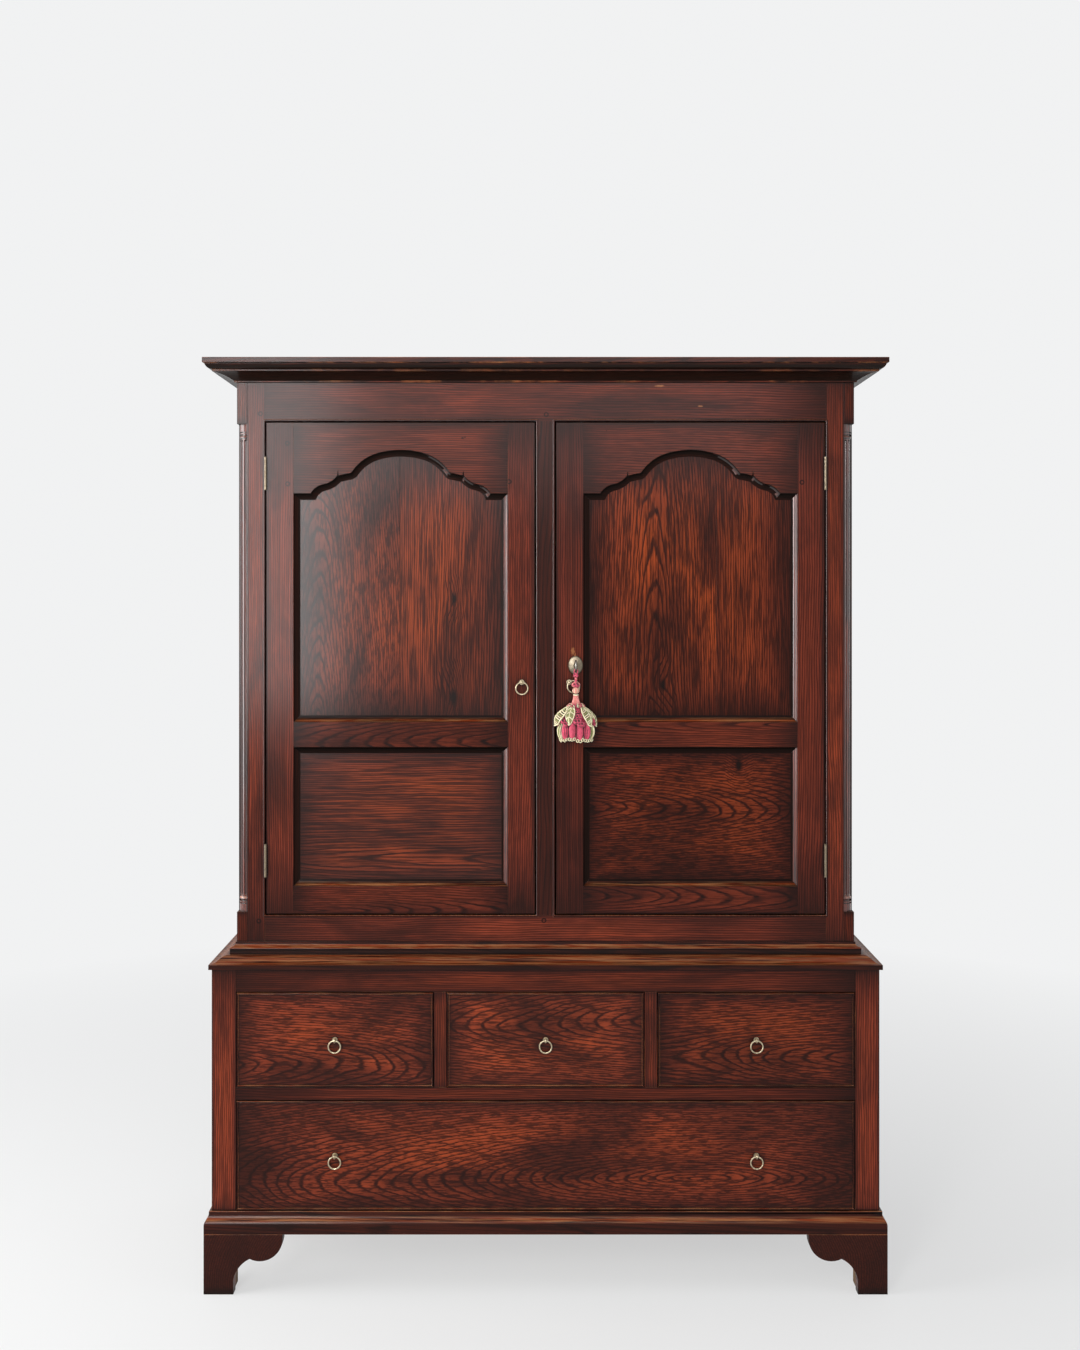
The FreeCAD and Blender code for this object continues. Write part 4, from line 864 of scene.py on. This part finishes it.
class PRESS_OT_tassel(bpy.types.Operator):
    """Make the tassel: cord loop, knots, woven ball, satin waist, petals, tufts and looped skirt"""

    bl_idname = "linen_press.tassel"
    bl_label = "Tassel"

    def execute(self, context):
        colours = context.scene.press_tassel
        dyes = [
            yarn_dye("rose_yarn", colours.rose),
            yarn_dye("salmon_satin", colours.salmon, satin=True),
            yarn_dye("cream_yarn", colours.cream),
            yarn_dye("green_yarn", colours.green),
            yarn_dye("crimson_yarn", colours.crimson_shade),
        ]
        tassel = Tassel()
        pieces = [
            tassel_head(tassel, dyes),
            tassel_waist(tassel, dyes[SALMON]),
            tassel_core(tassel, dyes[ROSE]),
            tassel_petals(tassel, dyes),
            tassel_tufts(tassel, dyes),
            tassel_skirt(tassel, dyes, colours.puffs),
        ]
        for piece in pieces:
            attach(piece, "tassel")
        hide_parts("tassel")
        loop = cord_loop(tassel, dyes[ROSE])
        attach(loop, "tassel")
        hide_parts("tassel_cord")
        return {"FINISHED"}


def cord_loop(tassel, dye):
    """The loop that hangs the tassel from the key's bow."""
    route = [
        (-CORD_REACH, -CORD_DROP),
        (-CORD_REACH, -CORD_REACH),
        (-CORD_REACH, CORD_REACH),
        (CORD_REACH, CORD_REACH),
        (CORD_REACH, -CORD_REACH),
        (CORD_REACH, -CORD_DROP),
    ]
    piece = round_curve("tassel_loop", CORD_THICK, 4, [dye])
    spline = piece.data.splines.new("NURBS")
    spline.points.add(len(route) - 1)
    for point, (across, up) in zip(spline.points, route):
        point.co = (tassel.x + across, tassel.y, tassel.top + up, 1)
    spline.order_u = 3
    spline.use_endpoint_u = True
    spline.resolution_u = 12
    return piece


def tassel_head(tassel, dyes):
    """Two knots, the twisted yarn between them, the woven ball and its band."""
    upper, lower = (tassel.at(0, 0, drop) for drop in KNOT_DROPS)
    # Some turns of the knots are dark yarn, as painted shade within the knot.
    strands = knot(upper, KNOT_RADII[0], THICK_YARN, (ROSE, ROSE, CRIMSON_SHADE))
    start, end = (tassel.at(0, 0, drop) for drop in TWIST_DROPS)
    strands += twisted(start, end, TWIST_RADIUS, BALL_YARN, (ROSE, SALMON, ROSE), turns=3)
    dyes_below = (ROSE, SALMON, ROSE, CRIMSON_SHADE)
    strands += knot(lower, KNOT_RADII[1], THICK_YARN, dyes_below, flat=0.72, shallow=0.5)
    ball = tassel.at(0, 0, BALL_DROP)
    for index in range(11):
        dye = (SALMON, CREAM, SALMON)[index % 3]
        loop = ring_points(ball, BALL_RADIUS, (math.pi / 2, 0.3, math.pi * index / 11), 20)
        strands.append((pressed(loop, ball, shallow=0.82), BALL_YARN, dye, True))
    for drop, radius, dye in BANDS:
        band = ring_points(tassel.at(0, 0, drop), radius, (0.06, 0.05, 0), 18)
        strands.append((band, BALL_YARN, dye, True))
    return yarns("tassel_head", strands, dyes)


def tassel_waist(tassel, satin):
    """Satin threads drawn over a turned core, narrow above and flared below."""
    tall = WAIST_FOOT - WAIST_TOP
    middle = tassel.at(0, 0, (WAIST_TOP + WAIST_FOOT) / 2)
    bpy.ops.mesh.primitive_cylinder_add(vertices=72, radius=1, depth=1, location=middle)
    piece = bpy.context.active_object
    piece.scale = (1, 1, tall)
    settle(piece, "tassel_waist")
    for part, _ in WAIST_ROWS[1:-1]:
        level = tassel.top - WAIST_TOP - tall * part
        in_edit_mode(piece, lambda: bpy.ops.mesh.bisect(plane_co=(0, 0, level), plane_no=(0, 0, 1)))
    for vertex in piece.data.vertices:
        part = (tassel.top - WAIST_TOP - vertex.co.z) / tall
        radius = next(
            r0 + (r1 - r0) * (part - p0) / (p1 - p0)
            for (p0, r0), (p1, r1) in zip(WAIST_ROWS, WAIST_ROWS[1:])
            if part <= p1 + 0.001
        )
        angle = math.atan2(vertex.co.y - tassel.y, vertex.co.x - tassel.x)
        ridge = 1 + RIDGE_DEPTH * math.cos(RIDGES * angle)
        vertex.co.x = tassel.x + radius * ridge * math.cos(angle)
        vertex.co.y = tassel.y + radius * ridge * math.sin(angle)
    piece.data.materials.append(satin)
    return smooth(piece, 50)


def tassel_core(tassel, dye):
    """The bound yarn inside the skirts."""
    middle = (CORE_TOP + tassel.top - tassel.low) / 2
    centre = tassel.at(0, 0, middle)
    bpy.ops.mesh.primitive_uv_sphere_add(segments=32, ring_count=20, radius=1, location=centre)
    piece = bpy.context.active_object
    piece.scale = (CORE_RADIUS, CORE_RADIUS * tassel.oval, middle - CORE_TOP - CORE_GAP)
    settle(piece, "tassel_core")
    piece.data.materials.append(dye)
    return smooth(piece, 60)


# Each petal's facing in degrees, its half width in radians, its reach, its foot and its dyes.
PETALS = [
    (-70, 0.56, 0.034, 0.112, (CREAM, CREAM, GREEN)),
    (-23, 0.3, 0.026, 0.11, (GREEN, CREAM, GREEN)),
    (50, 0.44, 0.028, 0.113, (CREAM, GREEN, CREAM)),
    (95, 0.42, 0.03, 0.114, (CREAM, GREEN)),
    (140, 0.42, 0.028, 0.112, (CREAM, CREAM, GREEN)),
    (190, 0.42, 0.027, 0.114, (GREEN, CREAM)),
    (240, 0.42, 0.029, 0.112, (CREAM, GREEN, CREAM)),
]
PETAL_LIFT = 0.0012
# The rows of the braided collar: radius and drop.
COLLAR = [(0.0132, 0.0706), (0.0168, 0.0738)]
# Where rose tufts show between the petals, in degrees, and each one's knots: turn, reach, drop and size.
TUFTS = [-44, 4, 15, 76, 118, 165, 215, 262]
TUFT_KNOTS = [(0.0, 0.02, 0.086, 0.003), (0.05, 0.029, 0.0955, 0.0045)]
TUFT_KNOTS += [(-0.08, 0.036, 0.105, 0.005), (0.12, 0.0365, 0.1115, 0.0045)]


def on_petal(tassel, leaf, across, down, lift=0.0):
    """A point of a petal that hangs from the collar: across from -1 to 1, and down from 0 to 1."""
    facing, half, spread, foot, _ = leaf
    width = 0.22 + 0.78 * math.sin(math.pi * min(down, 1) ** 0.8)
    reach = 0.0125 + spread * math.sin(min(down * 1.2, 1) * math.pi / 2) + lift
    drop = PETAL_TOP + (foot - PETAL_TOP) * down**1.2
    cup = 0.005 * across * across * down
    return tassel.at(math.radians(facing) + across * half * width, reach - cup, drop, PETAL_OVAL)


def petal(tassel, leaf):
    """A leaf of slanting yarns with a thick rim."""
    tones = leaf[-1]
    edge = [(-1, step / 12) for step in range(12)]
    edge += [(step / 3, 1 + 0.06 * (1 - abs(step / 3))) for step in range(-3, 4)]
    edge += [(1, 1 - step / 12) for step in range(1, 13)]
    rim = [on_petal(tassel, leaf, across, down, PETAL_LIFT) for across, down in edge]
    strands = [(rim, THICK_YARN, CREAM, True)]
    for side in (-1, 1):
        for rib in range(11):
            points = []
            for step in range(7):
                down = min(rib / 11 + 0.16 * step / 6, 1)
                points.append(on_petal(tassel, leaf, side * 0.96 * step / 6, down, 0.0004))
            strands.append((points, RIB_YARN, tones[rib % len(tones)], False))
    vein = [on_petal(tassel, leaf, 0, step / 8, 0.0014) for step in range(9)]
    strands.append((vein, VEIN_YARN, CREAM, False))
    return strands


def tassel_petals(tassel, dyes):
    """Petals of yarn that hang over the skirt, from a braided collar."""
    strands = []
    for leaf in PETALS:
        strands += petal(tassel, leaf)
    for row, (radius, drop) in enumerate(COLLAR):
        beads = 22 + 4 * row
        for index in range(beads):
            angle = math.tau * index / beads
            bead = ring_points(tassel.at(angle, radius, drop, 0.85), 0.002, (0.5, 1.1, -angle), 8)
            strands.append((bead, COLLAR_YARN, (ROSE, CREAM, SALMON)[index % 3], True))
    return yarns("tassel_petals", strands, dyes)


def tassel_tufts(tassel, dyes):
    """Rose tufts that show between the petals."""
    strands = []
    for facing in TUFTS:
        for turn, reach, drop, size in TUFT_KNOTS:
            centre = tassel.at(math.radians(facing) + turn, reach, drop, PETAL_OVAL)
            # Dark turns in each tuft are painted shade.
            strands += knot(centre, size, TUFT_YARN, (ROSE, CRIMSON_SHADE, ROSE), flat=1.1)
    return yarns("tassel_tufts", strands, dyes)


def tassel_skirt(tassel, dyes, count):
    """Puffs of yarn, rose in front and behind, cream and green at the sides, over a cream hem. The outer strands
    of each puff are dark, as painted shade between puffs.
    """
    chance = random.Random("skirt")
    strands = []
    for puff in range(count):
        facing = math.tau * (puff + 0.5) / count
        tones = (ROSE, ROSE, ROSE) if abs(math.sin(facing)) < 0.75 else (CREAM, GREEN, CREAM)
        foot = SKIRT_FOOT + chance.uniform(0, 0.004)
        for index in range(-4, 5):
            lean = index / 4
            points = []
            for step in range(13):
                down = step / 12
                bulge = math.sin(math.pi * (0.08 + 0.86 * down)) ** 0.6
                angle = facing + lean * PUFF_ANGLE * bulge
                reach = SKIRT_REACH + PUFF_BULGE * bulge * math.cos(lean * 1.45) + SKIRT_FLARE * down
                points.append(tassel.at(angle, reach, SKIRT_TOP + (foot - SKIRT_TOP) * down, SKIRT_OVAL))
            # The outer strands are dark yarn, painted shade in the gaps between puffs.
            dye = CRIMSON_SHADE if abs(index) == 4 else tones[index % len(tones)]
            strands.append((points, THICK_YARN, dye, False))
        for turn in range(3):
            drop = foot + chance.uniform(0, 0.003)
            spot = tassel.at(facing + (turn - 1) * 0.16, 0.034, drop, SKIRT_OVAL)
            strands.append((ring_points(spot, 0.0028, (1.3, turn, -facing), 10), HEM_YARN, CREAM, True))
    return yarns("tassel_skirt", strands, dyes)


# ---------------------------------------------------------------- operators

# Brightness of the cases' boards, where it differs from the usual one.
CASE_BRIGHT = {"base_front_rails": 0.6, "corner_columns": 0.9, "corner_blocks": 0.5}
USUAL_BRIGHT = 0.98
# Patinas: brightness, clearing in the middle and redness.
CORNICE_PATINA = (1.2, 0.3, 0.0)
WAIST_PATINA = (1.02, 0.8, 0.1)
LEDGE_PATINA = (0.77, 0.8, 0.1)
INNER_PATINA = (0.9, 0.3, 0.3)
DOOR_PATINA = {"stiles": (0.88, 0.3, 0.5), "arched_rail": (0.73, 0.2, 0.15), "lower_rails": (0.62, 0.3, 0.25)}
PANEL_PATINA = {"left": (0.79, 1.0, 0.1), "right": (0.75, 1.0, 0.1)}

# Where each door's panels have their pith: the low panel, then the tall one's left and right boards.
PANEL_PITH = {
    "left": [(0.09, 0.03, -0.03), (0.065, 0.055, 0.12), (-0.13, 0.05, 0.04)],
    "right": [(-0.02, 0.05, 0.14), (-0.009, 0.05, 0.06), (0.15, 0.04, 0.05)],
}
PANEL_FACE = {"left": KNOTTED, "right": SHADED}
# Where each tall panel is glued up from two boards.
PANEL_JOINT = {"left": -0.3104, "right": 0.3646}

# How far behind the door's face its stuck moulding begins and ends.
STUCK_FROM, STUCK_TO = 0.0005, 0.011
# How far before the back of the drawers' fronts their dry boxes begin.
BOX_FROM = 0.005
# How much of the worn arris the cases and drawers have, and the doors.
CASE_ARRIS, DOOR_ARRIS = 0.6, 0.45
# A face whose normal points further to the left than this catches the window. It gets the polished finish:
# glossier, and painted lighter with less painted shade than the flanks around it.
LOOKS_LEFT = -0.25


def oak_materials(context, *names):
    oak = context.scene.press_oak
    made = []
    for name in names:
        material = bpy.data.materials.get(name)
        if material is None:
            material = dry_oak(name, oak) if name == DRY else waxed_oak(name, oak)
        made.append(material)
    return made


def recoat(piece, index, chosen):
    """Gives the faces that are chosen another of the piece's materials."""
    for face in piece.data.polygons:
        if chosen(face):
            face.material_index = index


class PRESS_OT_cases(bpy.types.Operator):
    """Make the boards of both cases in waxed oak"""

    bl_idname = "linen_press.cases"
    bl_label = "Cases"

    def execute(self, context):
        arris = context.scene.press_oak.arris * CASE_ARRIS
        for node in FRONT_OAK:
            panel = "panels" in node
            broad = POLISHED_AND_LIT if node == "corner_columns" else WAXED if panel else CASED
            edge = EDGED if node == "opening_beads" else RUBBED
            patina = (CASE_BRIGHT.get(node, USUAL_BRIGHT), 0.75 if panel else 0.45, 0.3)
            materials = oak_materials(context, broad, edge, POLISHED_AND_LIT)
            piece = oak_piece(node, materials, patina, arris, plain_sawn if panel else rift)
            if node == "opening_beads":
                # Bead faces that look to the window get painted light: the polished finish, lighter and glossier.
                recoat(piece, 2, lambda face: face.normal.x < LOOKS_LEFT)
        return {"FINISHED"}


class PRESS_OT_mouldings(bpy.types.Operator):
    """Make the cornice, the waist and the ledge, with their bright worn edges"""

    bl_idname = "linen_press.mouldings"
    bl_label = "Mouldings"

    def execute(self, context):
        arris = context.scene.press_oak.arris
        oak_piece("cornice", oak_materials(context, WAXED, RUBBED), CORNICE_PATINA, arris)
        for node in MOULDED_OAK:
            patina = WAIST_PATINA if node == "waist_moulding" else LEDGE_PATINA
            oak_piece(node, oak_materials(context, WAXED, EDGED), patina, arris)
        return {"FINISHED"}


class PRESS_OT_inner_boards(bpy.types.Operator):
    """Make the back boards, shelves, bearers and runners in dry oak"""

    bl_idname = "linen_press.inner_boards"
    bl_label = "Inner boards"

    def execute(self, context):
        arris = context.scene.press_oak.arris
        materials = oak_materials(context, DRY, DRY)
        for node in INNER_OAK:
            oak_piece(node, materials, INNER_PATINA, arris, slot="inner_oak")
        return {"FINISHED"}


class PRESS_OT_doors(bpy.types.Operator):
    """Make both doors, with a chosen figure in each panel"""

    bl_idname = "linen_press.doors"
    bl_label = "Doors"

    def execute(self, context):
        materials = oak_materials(context, FRAMED, RUBBED, STUCK, POLISHED_AND_LIT)
        arris = context.scene.press_oak.arris * DOOR_ARRIS
        for side, pith in PANEL_PITH.items():
            panel_materials = oak_materials(context, PANEL_FACE[side], WAXED)
            for part, patina in DOOR_PATINA.items():
                sawing = plain_sawn if part == "lower_rails" else rift
                piece = oak_piece(f"{side}_door_{part}", materials, patina, arris, sawing)
                front = box_of(piece)[0].y
                near, far = front + STUCK_FROM, front + STUCK_TO
                # The stuck moulding's flanks carry painted shade with the old wax.
                recoat(piece, 2, lambda face: near < face.center.y < far)
                # Flanks that look to the window get painted light: the polished finish, lighter and glossier than
                # the shaded flanks.
                recoat(piece, 3, lambda face: near < face.center.y < far and face.normal.x < LOOKS_LEFT)
            panels = f"{side}_door_panels"
            oak_piece(panels, panel_materials, PANEL_PATINA[side], arris, pith, PANEL_JOINT[side])
        return {"FINISHED"}


class PRESS_OT_drawers(bpy.types.Operator):
    """Make the drawers: waxed fronts with cock beads on dry oak boxes"""

    bl_idname = "linen_press.drawers"
    bl_label = "Drawers"

    def execute(self, context):
        front_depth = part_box("base_front_stiles")[1].y
        arris = context.scene.press_oak.arris * CASE_ARRIS
        materials = oak_materials(context, WAXED, EDGED, DRY)
        for node, bright in DRAWERS.items():
            piece = oak_piece(node, materials, (bright, 0.65, 0.15), arris, steep)
            recoat(piece, 2, lambda face: face.center.y > front_depth - BOX_FROM)
        return {"FINISHED"}


class PRESS_OT_brass(bpy.types.Operator):
    """Finish the hinges, ring pulls and the key plate in aged brass"""

    bl_idname = "linen_press.brass"
    bl_label = "Brass"

    def execute(self, context):
        metal = context.scene.press_metal
        brass = aged_brass("aged_brass", metal)
        dull = aged_brass("dull_brass", metal, greyed=1.0)
        steel = worn_steel("worn_steel", metal)
        iron = worn_steel("lock_iron", metal, light=0.4)
        plate = key_plate("key_plate", metal)
        for part in frame["record"]["subparts"]:
            slot = part["material_slot"]
            if slot in ("aged_brass", "dark_steel"):
                piece = copy_of_node(part["node"], "metal_" + part["node"])
                finish = steel if slot == "dark_steel" else dull if "hinge" in part["node"] else brass
                finish = {"escutcheon": plate, "lock_case": iron}.get(part["node"], finish)
                piece.data.materials.append(finish)
                smooth(piece)
                stand_in(piece, part["node"], slot=slot)
        return {"FINISHED"}


class PRESS_OT_stage(bpy.types.Operator):
    """Set up the floor, the lamps and the camera"""

    bl_idname = "linen_press.stage"
    bl_label = "Stage"

    def execute(self, context):
        stage = context.scene.press_stage
        bpy.ops.mesh.primitive_plane_add(size=60, location=(0, 0, -0.0005))
        floor = settle(context.active_object, "floor")
        floor.data.materials.append(pale_floor())
        lamp("side_window", stage.window * 0.95, (2.2, 2.2), (-3.2, -0.8, 1.7), (0, -0.2, 1.3))
        lamp("high_window", stage.window * 0.5, (3.6, 1.4), (-0.6, -4.0, 2.65), (-0.1, -0.2, 1.2))
        lamp("tall_window", stage.window * 0.6, (0.75, 1.9), (-1.38, -4.1, 1.85), (-0.1, -0.2, 1.2))
        lamp("fill", stage.fill, (2.6, 2.6), (3.6, -2.0, 1.6), (0, -0.2, 1.0))
        lamp("ceiling", stage.fill, (3.0, 3.0), (0, -0.8, 3.8), (0, -0.3, 0))
        room(context)
        bpy.ops.object.camera_add(location=stage.stand, rotation=(math.radians(90), 0, 0))
        camera = context.active_object
        camera.name = "view_camera"
        camera.data.lens = stage.lens
        camera.data.sensor_width = 36
        camera.data.shift_y = stage.drop
        context.scene.camera = camera
        context.scene.view_settings.view_transform = "Standard"
        return {"FINISHED"}


def lamp(name, power, size, place, aim):
    bpy.ops.object.light_add(type="AREA", location=place)
    made = bpy.context.active_object
    made.name = name
    made.data.shape = "RECTANGLE"
    made.data.size, made.data.size_y = size
    made.data.energy = power
    made.rotation_euler = (Vector(aim) - Vector(place)).to_track_quat("-Z", "Y").to_euler()


WALL = (0.88, 0.885, 0.89)
FLOOR, FLOOR_DRIFT = (0.8, 0.8, 0.79), (0.76, 0.76, 0.75)
DAYLIGHT = (0.95, 0.97, 1.0)


def seen_directly(paint):
    """1 for what the eye sees, also in a mirror or through glass, and 0 for the light on things."""
    seen = paint.node("LightPath", {}, "Is Camera Ray")
    for way in ("Is Glossy Ray", "Is Transmission Ray"):
        seen = paint.most(seen, paint.node("LightPath", {}, way))
    return seen


def pale_floor():
    """A pale floor that keeps the press's shadow near by and runs out into the wall's colour."""
    paint = Shading("pale_floor")
    drift = paint.noise(paint.place(), 1.3, 3.0)
    color = paint.lay(FLOOR, FLOOR_DRIFT, drift, 0.3, 0.7, 0.4)
    far = paint.between(paint.length(paint.place()), 0.9, 3.2, 0.62, 1.0)
    wall = paint.node("Emission", {"Color": (*WALL, 1), "Strength": 1.0})
    paint.cover(paint.times(far, seen_directly(paint)), wall)
    return paint.finish(color, 0.8, specular_ior_level=0.1)


def room(context):
    """A pale wall to the eye. To the press it is a dim room, lighter behind it than in front."""
    paint = Shading("room", world=True)
    context.scene.world = paint.owner
    outward = paint.node("TexCoord", {}, "Generated")
    level = paint.between(paint.part(outward, 1), -0.4, 0.6, 0.1, 0.55)
    paint.shader.inputs["Color"].default_value = (*DAYLIGHT, 1)
    paint.tree.links.new(level, paint.shader.inputs["Strength"])
    paint.cover(seen_directly(paint), paint.node("Background", {"Color": (*WALL, 1)}))


STEPS = [PRESS_OT_cases, PRESS_OT_mouldings, PRESS_OT_inner_boards, PRESS_OT_doors]
STEPS += [PRESS_OT_drawers, PRESS_OT_brass, PRESS_OT_tassel, PRESS_OT_stage]


class PRESS_PT_panel(bpy.types.Panel):
    bl_idname = "PRESS_PT_panel"
    bl_label = "Linen Press"
    bl_space_type = "VIEW_3D"
    bl_region_type = "UI"
    bl_category = "Linen Press"

    def draw(self, context):
        for name, kind in SETTINGS.items():
            box = self.layout.box()
            for key in kind.__annotations__:
                box.prop(getattr(context.scene, name), key)
        for step in STEPS:
            self.layout.operator(step.bl_idname)


def register():
    for kind in (*SETTINGS.values(), *STEPS, PRESS_PT_panel):
        bpy.utils.register_class(kind)
    for name, kind in SETTINGS.items():
        setattr(bpy.types.Scene, name, bpy.props.PointerProperty(type=kind))


def unregister():
    for name in SETTINGS:
        delattr(bpy.types.Scene, name)
    for kind in reversed((*SETTINGS.values(), *STEPS, PRESS_PT_panel)):
        bpy.utils.unregister_class(kind)


def main():
    register()
    for step in STEPS:
        family, name = step.bl_idname.split(".")
        getattr(getattr(bpy.ops, family), name)()


if __name__ == "__main__":
    main()
